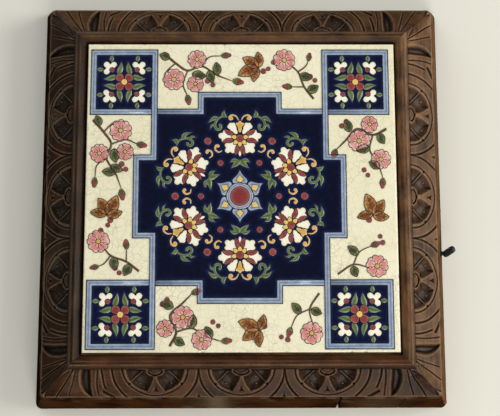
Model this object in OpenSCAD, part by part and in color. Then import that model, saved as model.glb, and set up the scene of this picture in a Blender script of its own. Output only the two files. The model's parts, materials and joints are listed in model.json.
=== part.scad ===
// Musical trivet: a glazed tile in a carved frame on a battered plinth, with a wind-up movement inside.
// +X points to the lever side, +Y to the back, +Z up; the origin is on the table under the tile's centre.

/* [Tile] */
// Side of the square tile
tile_w = 200; // [192:0.5:208]
// Thickness of the tile
tile_t = 9; // [7:0.5:10]
// Open joint between the tile and the frame
tile_gap = 1.5; // [0.5:0.1:2]
// Thickness of the board that carries the tile
board_t = 5; // [3:0.5:6]
// Width of the frame's ledge that traps the board
ledge_w = 6; // [5:0.5:7]
// Height of the tile's face above the frame's inner lip
tile_proud = 3; // [1:0.5:4]

/* [Carved frame] */
// Width of the rounded inner fillet, seen from above
fillet_w = 8.5; // [8:0.1:10]
// Width of the carved slope, seen from above
slope_w = 18.3; // [17:0.1:20]
// Height of the frame's outer edge
edge_h = 3; // [2:0.5:4]
// Step from the slope up to the fillet's outer shoulder
fillet_step = 2; // [1:0.5:3]
// Drop from the fillet's inner lip to its outer shoulder
lip_rise = 1; // [0:0.5:2]
// Bulge of the fillet's rounded top
fillet_bulge = 3; // [2:0.5:4]
// Lunettes along each side
lunettes = 3; // [1:1:3]
// Distance between lunettes
lunette_pitch = 54.5; // [54:0.5:58]
// Radius of a lunette's scooped bed
lunette_r = 16; // [12:0.5:16.5]
// Radius of the half-round boss in a lunette
boss_r = 4.4; // [3:0.2:6]
// Depth of the scooped beds
scoop_d = 1.4; // [0.6:0.1:2]
// Radius of the incised arc round a lunette
arc_r = 26; // [24:0.5:27]
// Width of an incised line
line_w = 0.9; // [0.5:0.1:1.5]
// Depth of an incised line
line_d = 0.6; // [0.3:0.1:1]

/* [Plinth] */
// Height of the plinth
plinth_h = 29; // [28:0.5:34]
// Ledge left at the top of the plinth, outside the frame
plinth_ledge = 1.4; // [0.5:0.1:3]
// Batter of the plinth's outer face
plinth_batter = 8.3; // [4:0.1:10]
// Thickness of the plinth at its top
plinth_wall = 11.7; // [10:0.1:13]
// Width of the shoulder that the base board is screwed to
shoulder_w = 8; // [6:0.5:9]
// Place of the open joint in the front plinth, from the centre
joint_x = 64; // [40:1:80]
// Width of the open joint
joint_gap = 1.8; // [0.5:0.1:3]
// Leg of the triangular corner blocks
block_w = 18; // [12:1:24]

/* [Base board] */
// Height of the base board's underside, which makes room for the key
recess_h = 8; // [8:0.5:9]
// Thickness of the base board
base_t = 4; // [3:0.5:5]
// Clearance round the base board
base_gap = 0.5; // [0.2:0.1:1]
// Radius of the hole for the winding arbor
key_hole_r = 5; // [4:0.5:6]

/* [Movement] */
// Room between the movement and the board over it
move_room = 0.5; // [0.3:0.1:2]
// Distance from the inner face of the lever's wall to the cylinder's axis
wall_to_axis = 40; // [39:0.5:42]
// Distance of the cylinder's middle from the centre, towards the front
move_y = 37; // [34:0.5:40]
// Thickness of the bedplate
bed_t = 2; // [1.5:0.1:2.5]
// Height of the cylinder's axis above the base board
axis_h = 13.5; // [13.3:0.1:13.8]
// Radius of the cylinder
drum_r = 5.5; // [5:0.1:5.6]
// Length of the cylinder
drum_l = 22; // [21:0.1:22.4]
// Height of a cylinder pin
pin_h = 0.5; // [0.3:0.05:0.6]
// Radius of a cylinder pin
pin_r = 0.18; // [0.1:0.02:0.24]
// Teeth on the comb, one for each note
notes = 18; // [12:1:18]
// Pins in each track of the cylinder
track_pins = 5; // [2:1:6]
// Distance between comb teeth
note_pitch = 1.1; // [0.9:0.02:1.14]
// Slot between comb teeth
comb_slot = 0.3; // [0.2:0.05:0.4]
// Gap between the comb's tips and the pins
comb_gap = 0.15; // [0.1:0.05:0.4]
// Module of the crown wheel and the cylinder pinion
drive_m = 0.5; // [0.46:0.01:0.5]
// Teeth on the cylinder pinion
pinion_n = 14; // [14:1:14]
// Teeth on the barrel's crown
crown_n = 44; // [44:1:44]
// Module of the governor's gears
gov_m = 0.4; // [0.36:0.01:0.4]
// Teeth on the great wheel
great_n = 30; // [30:1:30]
// Teeth on the governor pinion
gov_n = 8; // [8:1:8]
// Teeth on the worm wheel
worm_n = 24; // [24:1:24]
// Teeth on the ratchet wheel
ratchet_n = 24; // [24:1:24]
// Radius of the ratchet wheel
ratchet_r = 6; // [5:0.1:6.5]
// Radius of the winding arbor
arbor_r = 1.5; // [1.2:0.1:1.7]
// Radius of the cylinder arbor
shaft_r = 1; // [0.8:0.1:1.1]
// Radius of the governor arbor and the worm shaft
fine_r = 0.5; // [0.4:0.05:0.55]
// Radius of the governor's fan
fan_r = 4.2; // [3:0.1:4.3]
// Height of the fan
fan_h = 4; // [3:0.1:4.2]
// Half of the span of the winding key
key_span = 10; // [8:0.5:12]

/* [Stop lever] */
// Distance from the inner face of the wall to the lever's pivot
wall_to_pivot = 17; // [16.5:0.5:17.5]
// Distance of the lever's pivot from the centre, towards the front
pivot_y = 34; // [33.5:0.5:34.5]
// Height of the lever's underside above the bedplate
lever_up = 3.6; // [3.4:0.1:3.8]
// Thickness of the lever
lever_t = 0.8; // [0.6:0.1:1]
// Width of the lever
lever_w = 3; // [2:0.1:3.2]
// Length of the lever's outer arm
lever_l = 33.4; // [33:0.2:36]
// Length of the lever's pad
pad_l = 9.8; // [8:0.2:12]
// Width of the lever's pad
pad_w = 5; // [4:0.2:5.4]
// Thickness of the lever's pad
pad_t = 2.4; // [2:0.1:2.8]
// Width of the slot in the wall
slot_w = 15; // [14:0.5:17]
// Height of the slot in the wall
slot_h = 4.6; // [4.4:0.1:5]

/* [Fits] */
// Radial clearance of shafts and screws in their holes
fit = 0.05; // [0.02:0.01:0.08]
// Gap between parts that lie close without touching
near_gap = 0.3; // [0.2:0.05:0.35]

/* [Hidden] */
$fn = 48;
// Overrun of every cut
over = 1;

// Plan sizes of the frame and plinth, from the centre outwards
tile_half = tile_w / 2;
lip_half = tile_half + tile_gap;
slope_in = lip_half + fillet_w;
slope_out = slope_in + slope_w;
plinth_top_half = slope_out + plinth_ledge;
plinth_half = plinth_top_half + plinth_batter;
cavity_half = plinth_top_half - plinth_wall;
base_seat_half = cavity_half + shoulder_w;
board_half = lip_half + ledge_w - near_gap;
base_z = recess_h + base_t;

// Screws of the case
screw_head_r = 2.2;
screw_head_h = 1.6;
screw_r = 1;
frame_bite = 5;
plinth_bite = 8;
board_screw_l = board_t + frame_bite;
base_screw_l = base_t + plinth_bite;
board_screw_share = 0.62;
base_screw_share = 0.7;
base_screw_y = cavity_half + shoulder_w / 2;
drive_slot_w = 0.6;
drive_slot_d = 0.7;

// Movement, from its own origin: the cylinder's middle, on top of the base board
move_x = cavity_half - wall_to_axis;
bed_low_x = -24;
bed_high_x = 28;
bed_low_y = -27;
bed_high_y = 44;
bed_screw_l = base_t + bed_t;
end_gap = 1;
bracket_t = 1.5;
bracket_w = 8;
bracket_foot = 8;
foot_t = 1.2;
drive_y = drum_l / 2 + end_gap;
pinion_y = drive_y + bracket_t + end_gap + near_gap;
pinion_w = 2.4;
pinion_r = drive_m * pinion_n / 2;
crown_r = drive_m * crown_n / 2;
crown_band = 2.6;
crown_out = crown_r + crown_band / 2;
barrel_y = pinion_y + pinion_w / 2 + crown_r;
crown_pitch_z = axis_h - pinion_r;
crown_up = drive_m * 0.7;
crown_down = drive_m * 0.95;
crown_root_z = crown_pitch_z - crown_down;
governor_y = -drum_l / 2 - end_gap - bracket_t;
wheel_t = 1;
great_y = governor_y - end_gap * 0.5 - wheel_t;
great_r = gov_m * great_n / 2;
gov_pinion_r = gov_m * gov_n / 2;
gov_x = great_r + gov_pinion_r;
gov_plate_t = 1;
gov_plate_y = great_y - near_gap * 2 - gov_plate_t;
worm_wheel_r = gov_m * worm_n / 2;
worm_wheel_t = 1.2;
worm_y = gov_plate_y - near_gap * 2 - worm_wheel_t;
gov_end_y = worm_y - near_gap * 2 - gov_plate_t;
worm_core = gov_m * 1.9;
worm_pitch_r = gov_m * 3;
worm_out = gov_m * 3.8;
worm_lead = PI * gov_m;
worm_turns = 4;
worm_x = gov_x + worm_wheel_r + worm_pitch_r;
worm_mid_y = worm_y + worm_wheel_t / 2;
gov_top_z = axis_h + worm_wheel_r + gov_m + near_gap * 2;
gov_top_t = 1.2;
gov_low_x = -2;
gov_high_x = worm_x - fan_r - near_gap * 1.4;
fan_z = bed_t + near_gap * 4;
fan_t = 0.4;
fan_hub_r = 0.9;

// Heights of the frame, which leaves its room over the movement
seat_z = base_z + gov_top_z + gov_top_t + move_room + board_t;
lip_z = seat_z + tile_t - tile_proud;
shoulder_z = lip_z - lip_rise;
slope_z = shoulder_z - fillet_step;
edge_z = plinth_h + edge_h;
frame_top = lip_z + fillet_bulge;
slope_ang = atan2(slope_z - edge_z, slope_w);
fillet_steps = 12;
lunette_across = slope_w / cos(slope_ang);
stem_share = 0.55;
stem_root = boss_r * 0.35;

// Barrel and winding arbor
ratchet_z = bed_t + near_gap;
ratchet_t = 1.3;
cover_z = ratchet_z + ratchet_t + near_gap;
cover_t = 0.6;
barrel_wall = 0.8;
barrel_in = crown_out - barrel_wall;
drum_z = cover_z + cover_t;
spring_t = 0.35;
spring_turns = 7;
spring_in = 3;
spring_steps = 24;
hub_r = 2.5;
clip_r = 3;
clip_t = 0.5;
bridge_z = crown_pitch_z + crown_up + near_gap * 5;
bridge_t = 1.2;
bridge_w = 7;
bridge_leg = crown_out + near_gap * 4;
bridge_foot = 5;
key_low = 1.5;
key_clear = 0.4;
key_hub_r = 2.7;
key_hub_h = recess_h - key_low - key_clear;
arbor_low_z = key_low + key_clear - base_z;
key_t = 2;
key_hole_share = 0.45;
click_l = 13;
click_w = 1.3;
click_tooth = 0.8;
click_nose_l = 1.2;
click_nose_gap = 0.1;
click_pivot_r = 1.8;
click_t = ratchet_t - 0.1;
click_screw_r = 0.7;
click_head_r = 1.5;
click_head_h = 0.8;
click_side = -62;

// Comb
tip_x = drum_r + pin_h + comb_gap;
comb_t = 1.2;
tooth_t = 0.6;
tooth_l = 7;
comb_w = notes * note_pitch + comb_slot;
comb_d = 8;
comb_base_w = comb_w + 2 * end_gap;
comb_screw_y = comb_w / 4;
comb_screw_r = 1.1;

// Stop lever, from the movement's origin
lever_px = wall_to_axis - wall_to_pivot;
lever_py = move_y - pivot_y;
lever_z = bed_t + lever_up;
post_r = 2.4;
lever_bore = 1.5;
lever_eye = 3.2;
lever_head_r = 2.6;
lever_head_h = 1;
finger_w = 1.6;
finger_ang = atan2(worm_mid_y - lever_py, worm_x - lever_px);
finger_reach = norm([worm_mid_y - lever_py, worm_x - lever_px]) - fan_r - near_gap * 2;
lever_ang = -2.5;
pad_turn = 36;
pad_back = 0.3;
slot_shift = 3.5;
slot_y = pivot_y - slot_shift;
slot_z = base_z + lever_z + lever_t / 2 - slot_h / 2;

// Gear tooth shares of the pitch, thinned for running clearance
tooth_share = 0.38;
tip_share = 0.22;
root_share = 0.46;
addendum_share = 0.75;
dedendum_share = 1.05;

// A screw standing up from its head's seat at the origin, with its head below and a slot across the head
module screw(head_r, head_h, shank_r, shank_l, slot_w_, slot_d_) {
    difference() {
        union() {
            translate([0, 0, -head_h])
                cylinder(r = head_r, h = head_h);
            cylinder(r = shank_r, h = shank_l);
        }
        translate([-head_r - over, -slot_w_ / 2, -head_h - over])
            cube([2 * (head_r + over), slot_w_, over + slot_d_]);
    }
}

module case_screw(shank_l) {
    screw(screw_head_r, screw_head_h, screw_r, shank_l, drive_slot_w, drive_slot_d);
}

// A small screw whose head is on top
module cap_screw(head_r, head_h, shank_r, shank_l) {
    mirror([0, 0, 1])
        screw(head_r, head_h, shank_r, shank_l, drive_slot_w, head_h / 2);
}

// A spur gear along +Z whose first tooth, or gap, points along +X
module spur(n, m, thick, bore_r, gap_first = false) {
    r = n * m / 2;
    tip_r = r + m * addendum_share;
    root_r = r - m * dedendum_share;
    pitch = PI * m;
    turn = gap_first ? 180 / n : 0;
    difference() {
        linear_extrude(thick)
            union() {
                circle(r = root_r + m / 10);
                for (k = [0 : n - 1])
                    rotate(turn + k * 360 / n)
                        polygon([
                            [root_r - m / 5, -pitch * root_share / 2],
                            [root_r, -pitch * root_share / 2],
                            [r, -pitch * tooth_share / 2],
                            [tip_r, -pitch * tip_share / 2],
                            [tip_r, pitch * tip_share / 2],
                            [r, pitch * tooth_share / 2],
                            [root_r, pitch * root_share / 2],
                            [root_r - m / 5, pitch * root_share / 2]
                        ]);
            }
        translate([0, 0, -over])
            cylinder(r = bore_r, h = thick + 2 * over);
    }
}

// Turns a part built along +Z so that it lies along +Y, keeping +X
module along_y(y) {
    translate([0, y, axis_h])
        rotate([-90, 0, 0])
            children();
}

// Puts a part of the movement in its place in the case
module in_case() {
    translate([move_x, -move_y, base_z])
        children();
}

// The part of a side that lies between the two corner mitres, for the side towards +Y
module mitre(reach) {
    intersection() {
        children();
        linear_extrude(2 * frame_top)
            polygon([[0, 0], [reach, reach], [-reach, reach]]);
    }
}

// A section drawn outwards and upwards, run along the side towards +Y
module moulding(points, half) {
    translate([-half, 0, 0])
        rotate([90, 0, 90])
            linear_extrude(2 * half)
                polygon(points);
}

function fillet_point(t) = [
    lip_half + fillet_w * t,
    lip_z - lip_rise * t + fillet_bulge * sin(180 * t)
];

rail_section = concat(
    [for (k = [0 : fillet_steps]) fillet_point(k / fillet_steps)],
    [
        [slope_in, slope_z],
        [slope_out, edge_z],
        [slope_out, plinth_h],
        [lip_half + ledge_w, plinth_h],
        [lip_half + ledge_w, seat_z],
        [lip_half, seat_z]
    ]
);

plinth_section = [
    [base_seat_half, 0],
    [plinth_half, 0],
    [plinth_top_half, plinth_h],
    [cavity_half, plinth_h],
    [cavity_half, base_z],
    [base_seat_half, base_z]
];

// Two scooped beds beside a flared stem, as a flat outline with the fillet along the X axis
module lunette_bed() {
    difference() {
        circle(r = lunette_r);
        circle(r = boss_r);
        translate([-2 * lunette_r, -2 * lunette_r])
            square([4 * lunette_r, 2 * lunette_r]);
        polygon([
            [-stem_root, 0],
            [stem_root, 0],
            [lunette_r * stem_share / 2, lunette_r * 1.1],
            [-lunette_r * stem_share / 2, lunette_r * 1.1]
        ]);
    }
}

module half_ring(r, w) {
    difference() {
        circle(r = r + w / 2);
        circle(r = r - w / 2);
        translate([-2 * r, -2 * r])
            square([4 * r, 2 * r]);
    }
}

// Cuts a flat outline into the slope of the side towards +Y, at a place along it
module cut_slope(x, depth) {
    translate([x, slope_in, slope_z])
        rotate([-slope_ang, 0, 0])
            translate([0, 0, -depth])
                linear_extrude(depth + over)
                    intersection() {
                        children();
                        translate([-2 * arc_r, 0])
                            square([4 * arc_r, lunette_across]);
                    }
}

module carved_rail() {
    mitre(plinth_half)
        difference() {
            moulding(rail_section, plinth_half);
            for (k = [0 : lunettes - 1]) {
                x = (k - (lunettes - 1) / 2) * lunette_pitch;
                cut_slope(x, scoop_d)
                    lunette_bed();
                cut_slope(x, line_d)
                    half_ring(lunette_r + 2 * line_w, line_w);
                cut_slope(x, line_d)
                    half_ring(arc_r, line_w);
            }
            for (side = [-1, 1])
                translate([side * tile_half * board_screw_share, lip_half + ledge_w / 2, seat_z - over])
                    cylinder(r = screw_r + fit, h = board_screw_l - board_t + over + near_gap);
        }
}

module plinth_rail() {
    mitre(plinth_half + over)
        difference() {
            moulding(plinth_section, plinth_half + over);
            for (side = [-1, 0, 1])
                translate([side * cavity_half * base_screw_share, base_screw_y, base_z - over])
                    cylinder(r = screw_r + fit, h = base_screw_l - base_t + over + near_gap);
        }
}

module tile() {
    color("ivory")
        translate([-tile_half, -tile_half, seat_z])
            cube([tile_w, tile_w, tile_t]);
}

module tile_board() {
    color("burlywood")
        difference() {
            translate([-board_half, -board_half, seat_z - board_t])
                cube([2 * board_half, 2 * board_half, board_t]);
            for (turn = [0 : 90 : 270], side = [-1, 1])
                rotate(turn)
                    translate([side * tile_half * board_screw_share, lip_half + ledge_w / 2, plinth_h])
                        cylinder(r = screw_r + fit, h = seat_z - plinth_h + over);
        }
}

module board_screws() {
    color("darkgoldenrod")
        for (turn = [0 : 90 : 270], side = [-1, 1])
            rotate(turn)
                translate([side * tile_half * board_screw_share, lip_half + ledge_w / 2, seat_z - board_t])
                    case_screw(board_screw_l);
}

module carved_rail_back() {
    color("#5b3a26") carved_rail();
}

module carved_rail_left() {
    color("#3b271a") rotate(90) carved_rail();
}

module carved_rail_front() {
    color("#5b3a26") rotate(180) carved_rail();
}

module carved_rail_right() {
    color("#80604c") rotate(-90) carved_rail();
}

module plinth_back() {
    color("#3f2c20") plinth_rail();
}

module plinth_left() {
    color("#33241a") rotate(90) plinth_rail();
}

// One length of the front plinth, between two places along it
module plinth_front(low_x, high_x) {
    intersection() {
        rotate(180) plinth_rail();
        translate([low_x, -plinth_half - over, -over])
            cube([high_x - low_x, plinth_half, plinth_h + 2 * over]);
    }
}

module plinth_front_long() {
    color("#3f2c20") plinth_front(-plinth_half - over, joint_x - joint_gap / 2);
}

module plinth_front_short() {
    color("#4a3528") plinth_front(joint_x + joint_gap / 2, plinth_half + over);
}

module plinth_right() {
    color("#5a4638")
        difference() {
            rotate(-90) plinth_rail();
            translate([cavity_half - over, -slot_y - slot_w / 2, slot_z])
                cube([plinth_half, slot_w, slot_h]);
        }
}

module corner_blocks() {
    color("peru")
        for (turn = [0 : 90 : 270])
            rotate(turn)
                translate([cavity_half, cavity_half, base_z + base_gap])
                    linear_extrude(plinth_h - base_z - base_gap)
                        polygon([[0, 0], [-block_w, 0], [0, -block_w]]);
}

module base_board() {
    half = base_seat_half - base_gap;
    color("tan")
        difference() {
            translate([-half, -half, recess_h])
                cube([2 * half, 2 * half, base_t]);
            for (turn = [0 : 90 : 270], side = [-1, 0, 1])
                rotate(turn)
                    translate([side * cavity_half * base_screw_share, base_screw_y, 0])
                        cylinder(r = screw_r + fit, h = plinth_h);
            in_case()
                for (place = bed_screw_places)
                    translate([place.x, place.y, -base_z])
                        cylinder(r = screw_r + fit, h = plinth_h);
            in_case()
                translate([0, barrel_y, -base_z])
                    cylinder(r = key_hole_r, h = plinth_h);
            in_case()
                translate([worm_x, worm_mid_y, -near_gap])
                    cylinder(r = fine_r + near_gap, h = base_t);
        }
}

module base_screws() {
    color("gray")
        for (turn = [0 : 90 : 270], side = [-1, 0, 1])
            rotate(turn)
                translate([side * cavity_half * base_screw_share, base_screw_y, recess_h])
                    case_screw(base_screw_l);
}

bed_screw_places = [
    [bed_low_x + 3 * screw_r, bed_low_y + 3 * screw_r],
    [bed_low_x + 3 * screw_r, bed_high_y - 3 * screw_r],
    [bed_high_x - 3 * screw_r, bed_high_y - 3 * screw_r]
];
bridge_foot_x = bridge_leg + bridge_t + bridge_foot / 2;
bracket_screw_drive = drive_y - bracket_foot / 2;
bracket_screw_gov = governor_y + bracket_t + bracket_foot / 2;
gov_screw_x = gov_low_x + screw_head_r + near_gap;
gov_screw_y = (gov_plate_y + gov_end_y + gov_plate_t) / 2;
click_at = [
    ratchet_r * cos(click_side) + click_l * sin(click_side),
    barrel_y + ratchet_r * sin(click_side) - click_l * cos(click_side)
];

module bedplate() {
    color("goldenrod")
        in_case()
            difference() {
                union() {
                    translate([bed_low_x, bed_low_y, 0])
                        cube([bed_high_x - bed_low_x, bed_high_y - bed_low_y, bed_t]);
                    translate([lever_px, lever_py, 0])
                        cylinder(r = post_r, h = lever_z - fit);
                    translate([click_at.x, click_at.y, 0])
                        cylinder(r = click_pivot_r, h = ratchet_z);
                }
                for (place = bed_screw_places)
                    translate([place.x, place.y, -over])
                        cylinder(r = screw_r + fit, h = bed_t + 2 * over);
                translate([0, barrel_y, -over])
                    cylinder(r = arbor_r + fit, h = bed_t + 2 * over);
                translate([worm_x, worm_mid_y, -over])
                    cylinder(r = fine_r + fit, h = bed_t + 2 * over);
                for (side = [-1, 1])
                    translate([side * bridge_foot_x, barrel_y, -over])
                        cylinder(r = screw_r + fit, h = bed_t + 2 * over);
                for (side = [-1, 1])
                    translate([-tip_x - tooth_l - comb_d / 2, side * comb_screw_y, -over])
                        cylinder(r = comb_screw_r + fit, h = bed_t + 2 * over);
                for (y = [bracket_screw_drive, bracket_screw_gov])
                    translate([0, y, -over])
                        cylinder(r = screw_r + fit, h = bed_t + 2 * over);
                translate([gov_screw_x, gov_screw_y, -over])
                    cylinder(r = screw_r + fit, h = bed_t + 2 * over);
                translate([click_at.x, click_at.y, -over])
                    cylinder(r = click_screw_r + fit, h = lever_z + over);
                translate([lever_px, lever_py, -over])
                    cylinder(r = screw_r + fit, h = lever_z + 2 * over);
            }
}

module bedplate_screws() {
    color("gray")
        in_case()
            for (place = bed_screw_places)
                translate([place.x, place.y, -base_t])
                    case_screw(bed_screw_l);
}

// A bearing plate with a foot: the plate starts at y, and the foot runs back towards the cylinder
module cylinder_bracket(y, foot_y) {
    difference() {
        union() {
            translate([-bracket_w / 2, y, bed_t])
                cube([bracket_w, bracket_t, axis_h - bed_t]);
            along_y(y)
                cylinder(r = bracket_w / 2, h = bracket_t);
            translate([-bracket_w / 2, foot_y, bed_t])
                cube([bracket_w, bracket_foot, foot_t]);
        }
        along_y(y - over)
            cylinder(r = shaft_r + fit, h = bracket_t + 2 * over);
        translate([0, foot_y + bracket_foot / 2, bed_t - over])
            cylinder(r = screw_r + fit, h = foot_t + 2 * over);
    }
}

module cylinder_bracket_drive() {
    color("gold")
        in_case()
            cylinder_bracket(drive_y, drive_y - bracket_foot);
}

module cylinder_bracket_governor() {
    color("gold")
        in_case()
            cylinder_bracket(governor_y, governor_y + bracket_t);
}

module bracket_screws() {
    color("gray")
        in_case()
            for (y = [bracket_screw_drive, bracket_screw_gov])
                translate([0, y, bed_t + foot_t])
                    cap_screw(screw_head_r * 0.8, screw_head_h * 0.7, screw_r, foot_t + bed_t);
}

module comb_base() {
    color("darkkhaki")
        in_case()
            difference() {
                translate([-tip_x - tooth_l - comb_d, -comb_base_w / 2, bed_t])
                    cube([comb_d, comb_base_w, axis_h - tooth_t / 2 - bed_t]);
                for (side = [-1, 1])
                    translate([-tip_x - tooth_l - comb_d / 2, side * comb_screw_y, 0])
                        cylinder(r = comb_screw_r + fit, h = axis_h);
            }
}

module comb() {
    color("silver")
        in_case()
            difference() {
                translate([0, 0, axis_h - tooth_t / 2])
                    union() {
                        translate([-tip_x - tooth_l - comb_d, -comb_w / 2, 0])
                            cube([comb_d, comb_w, comb_t]);
                        translate([-tip_x - tooth_l - over / 2, -comb_w / 2, 0])
                            cube([tooth_l + over / 2, comb_w, tooth_t]);
                    }
                for (k = [0 : notes])
                    translate([-tip_x - tooth_l, (k - notes / 2) * note_pitch - comb_slot / 2, 0])
                        cube([tooth_l + over, comb_slot, 2 * axis_h]);
                for (side = [-1, 1])
                    translate([-tip_x - tooth_l - comb_d / 2, side * comb_screw_y, 0])
                        cylinder(r = comb_screw_r + fit, h = 2 * axis_h);
            }
}

module comb_screws() {
    color("steelblue")
        in_case()
            for (side = [-1, 1])
                translate([-tip_x - tooth_l - comb_d / 2, side * comb_screw_y, axis_h - tooth_t / 2 + comb_t])
                    cap_screw(screw_head_r, screw_head_h, comb_screw_r, axis_h - bed_t);
}

module governor_frame() {
    plate_w = gov_high_x - gov_low_x;
    color("gold")
        in_case()
            difference() {
                union() {
                    translate([gov_low_x, gov_end_y, bed_t])
                        cube([plate_w, gov_plate_y + gov_plate_t - gov_end_y, foot_t]);
                    for (y = [gov_plate_y, gov_end_y])
                        translate([gov_low_x + plate_w / 2, y, bed_t])
                            cube([plate_w / 2, gov_plate_t, gov_top_z - bed_t]);
                    translate([gov_low_x + plate_w / 2, gov_end_y, gov_top_z])
                        cube([
                            worm_x + 3 * fine_r - gov_low_x - plate_w / 2,
                            gov_plate_y + gov_plate_t - gov_end_y,
                            gov_top_t
                        ]);
                }
                translate([gov_x, 0, 0])
                    along_y(gov_end_y - over)
                        cylinder(r = fine_r + fit, h = gov_plate_y - gov_end_y + gov_plate_t + 2 * over);
                translate([worm_x, worm_mid_y, axis_h])
                    cylinder(r = fine_r + fit, h = plinth_h);
                translate([gov_screw_x, gov_screw_y, 0])
                    cylinder(r = screw_r + fit, h = axis_h);
            }
}

module governor_screw() {
    color("gray")
        in_case()
            translate([gov_screw_x, gov_screw_y, bed_t + foot_t])
                cap_screw(screw_head_r * 0.8, screw_head_h * 0.7, screw_r, foot_t + bed_t);
}

module barrel_bridge() {
    color("gold")
        in_case()
            translate([0, barrel_y, 0])
                difference() {
                    union() {
                        translate([-bridge_leg - bridge_t, -bridge_w / 2, bridge_z])
                            cube([2 * (bridge_leg + bridge_t), bridge_w, bridge_t]);
                        for (side = [0, 1])
                            mirror([side, 0, 0]) {
                                translate([bridge_leg, -bridge_w / 2, bed_t])
                                    cube([bridge_t, bridge_w, bridge_z - bed_t]);
                                translate([bridge_leg, -bridge_w / 2, bed_t])
                                    cube([bridge_t + bridge_foot, bridge_w, foot_t]);
                            }
                    }
                    translate([0, 0, bridge_z - over])
                        cylinder(r = arbor_r + fit, h = bridge_t + 2 * over);
                    for (side = [-1, 1])
                        translate([side * bridge_foot_x, 0, 0])
                            cylinder(r = screw_r + fit, h = axis_h);
                }
}

module bridge_screws() {
    color("gray")
        in_case()
            for (side = [-1, 1])
                translate([side * bridge_foot_x, barrel_y, bed_t + foot_t])
                    cap_screw(screw_head_r * 0.8, screw_head_h * 0.7, screw_r, foot_t + bed_t);
}

module click_screw() {
    color("gray")
        in_case()
            translate([click_at.x, click_at.y, ratchet_z + ratchet_t])
                cap_screw(click_head_r, click_head_h, click_screw_r, ratchet_z + ratchet_t);
}

module lever_screw() {
    color("gray")
        in_case()
            translate([lever_px, lever_py, lever_z + lever_t + fit])
                union() {
                    cap_screw(lever_head_r, lever_head_h, screw_r, lever_z);
                    translate([0, 0, -lever_t - 2 * fit])
                        cylinder(r = lever_bore - fit, h = lever_t + 2 * fit);
                }
}

module music_cylinder() {
    color("gold")
        in_case()
            along_y(-drum_l / 2)
                difference() {
                    union() {
                        cylinder(r = drum_r, h = drum_l);
                        for (track = [0 : notes - 1], k = [0 : track_pins - 1])
                            translate([0, 0, drum_l / 2 + (track - (notes - 1) / 2) * note_pitch])
                                rotate([0, 0, k * 360 / track_pins + track * 137.5 + k * k * 7])
                                    rotate([0, 90, 0])
                                        translate([0, 0, drum_r - pin_h])
                                            cylinder(r = pin_r, h = 2 * pin_h, $fn = 6);
                    }
                    translate([0, 0, -over])
                        cylinder(r = shaft_r + fit / 2, h = drum_l + 2 * over);
                }
}

module cylinder_arbor() {
    color("silver")
        in_case()
            along_y(great_y - near_gap)
                cylinder(r = shaft_r, h = pinion_y + pinion_w + near_gap - great_y + near_gap);
}

module cylinder_pinion() {
    color("goldenrod")
        in_case()
            along_y(pinion_y)
                rotate(90)
                    spur(pinion_n, drive_m, pinion_w, shaft_r + fit / 2);
}

module great_wheel() {
    color("goldenrod")
        in_case()
            along_y(great_y)
                spur(great_n, gov_m, wheel_t, shaft_r + fit / 2);
}

// A ring of upright teeth, one gap facing the pinion
module crown_teeth() {
    width = PI * drive_m * tooth_share;
    for (k = [0 : crown_n - 1])
        rotate(-90 + (k + 0.5) * 360 / crown_n)
            translate([crown_r - crown_band / 2 + near_gap / 2, -width / 2, crown_root_z - drive_m / 5])
                cube([crown_band - near_gap, width, crown_down + crown_up + drive_m / 5]);
}

module barrel_drum() {
    color("gold")
        in_case()
            translate([0, barrel_y, 0])
                difference() {
                    union() {
                        translate([0, 0, drum_z])
                            cylinder(r = crown_out, h = crown_root_z - drum_z);
                        crown_teeth();
                    }
                    translate([0, 0, drum_z - over])
                        cylinder(r = barrel_in, h = crown_root_z - barrel_wall - drum_z + over);
                    translate([0, 0, drum_z])
                        cylinder(r = arbor_r + fit, h = axis_h);
                }
}

module barrel_cover() {
    color("gold")
        in_case()
            translate([0, barrel_y, cover_z])
                difference() {
                    cylinder(r = crown_out, h = cover_t);
                    translate([0, 0, -over])
                        cylinder(r = arbor_r + fit, h = cover_t + 2 * over);
                }
}

// A flat spiral, from the arbor out to the barrel's wall
module mainspring() {
    steps = spring_turns * spring_steps;
    pitch = (barrel_in - fit - spring_t - spring_in) / spring_turns;
    function spiral(k, off) = (spring_in + off + pitch * k / spring_steps)
        * [cos(k * 360 / spring_steps), sin(k * 360 / spring_steps)];
    color("slategray")
        in_case()
            translate([0, barrel_y, drum_z + near_gap])
                linear_extrude(crown_root_z - barrel_wall - drum_z - 2 * near_gap)
                    polygon(concat(
                        [for (k = [0 : steps]) spiral(k, 0)],
                        [for (k = [steps : -1 : 0]) spiral(k, spring_t)]
                    ));
}

module winding_arbor() {
    color("silver")
        in_case()
            translate([0, barrel_y, 0])
                union() {
                    translate([0, 0, arbor_low_z])
                        cylinder(r = arbor_r, h = bridge_z + bridge_t + near_gap - arbor_low_z);
                    translate([0, 0, drum_z + near_gap])
                        cylinder(r = hub_r, h = crown_root_z - barrel_wall - drum_z - 2 * near_gap);
                }
}

// Saw teeth that let the click pass one way
module ratchet_wheel() {
    step = 360 / ratchet_n;
    color("silver")
        in_case()
            translate([0, barrel_y, ratchet_z])
                difference() {
                    linear_extrude(ratchet_t)
                        polygon([for (k = [0 : ratchet_n - 1], top = [0, 1])
                            (ratchet_r - (1 - top) * click_tooth)
                                * [cos(click_side + k * step), sin(click_side + k * step)]]);
                    translate([0, 0, -over])
                        cylinder(r = arbor_r + fit / 2, h = ratchet_t + 2 * over);
                }
}

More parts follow.
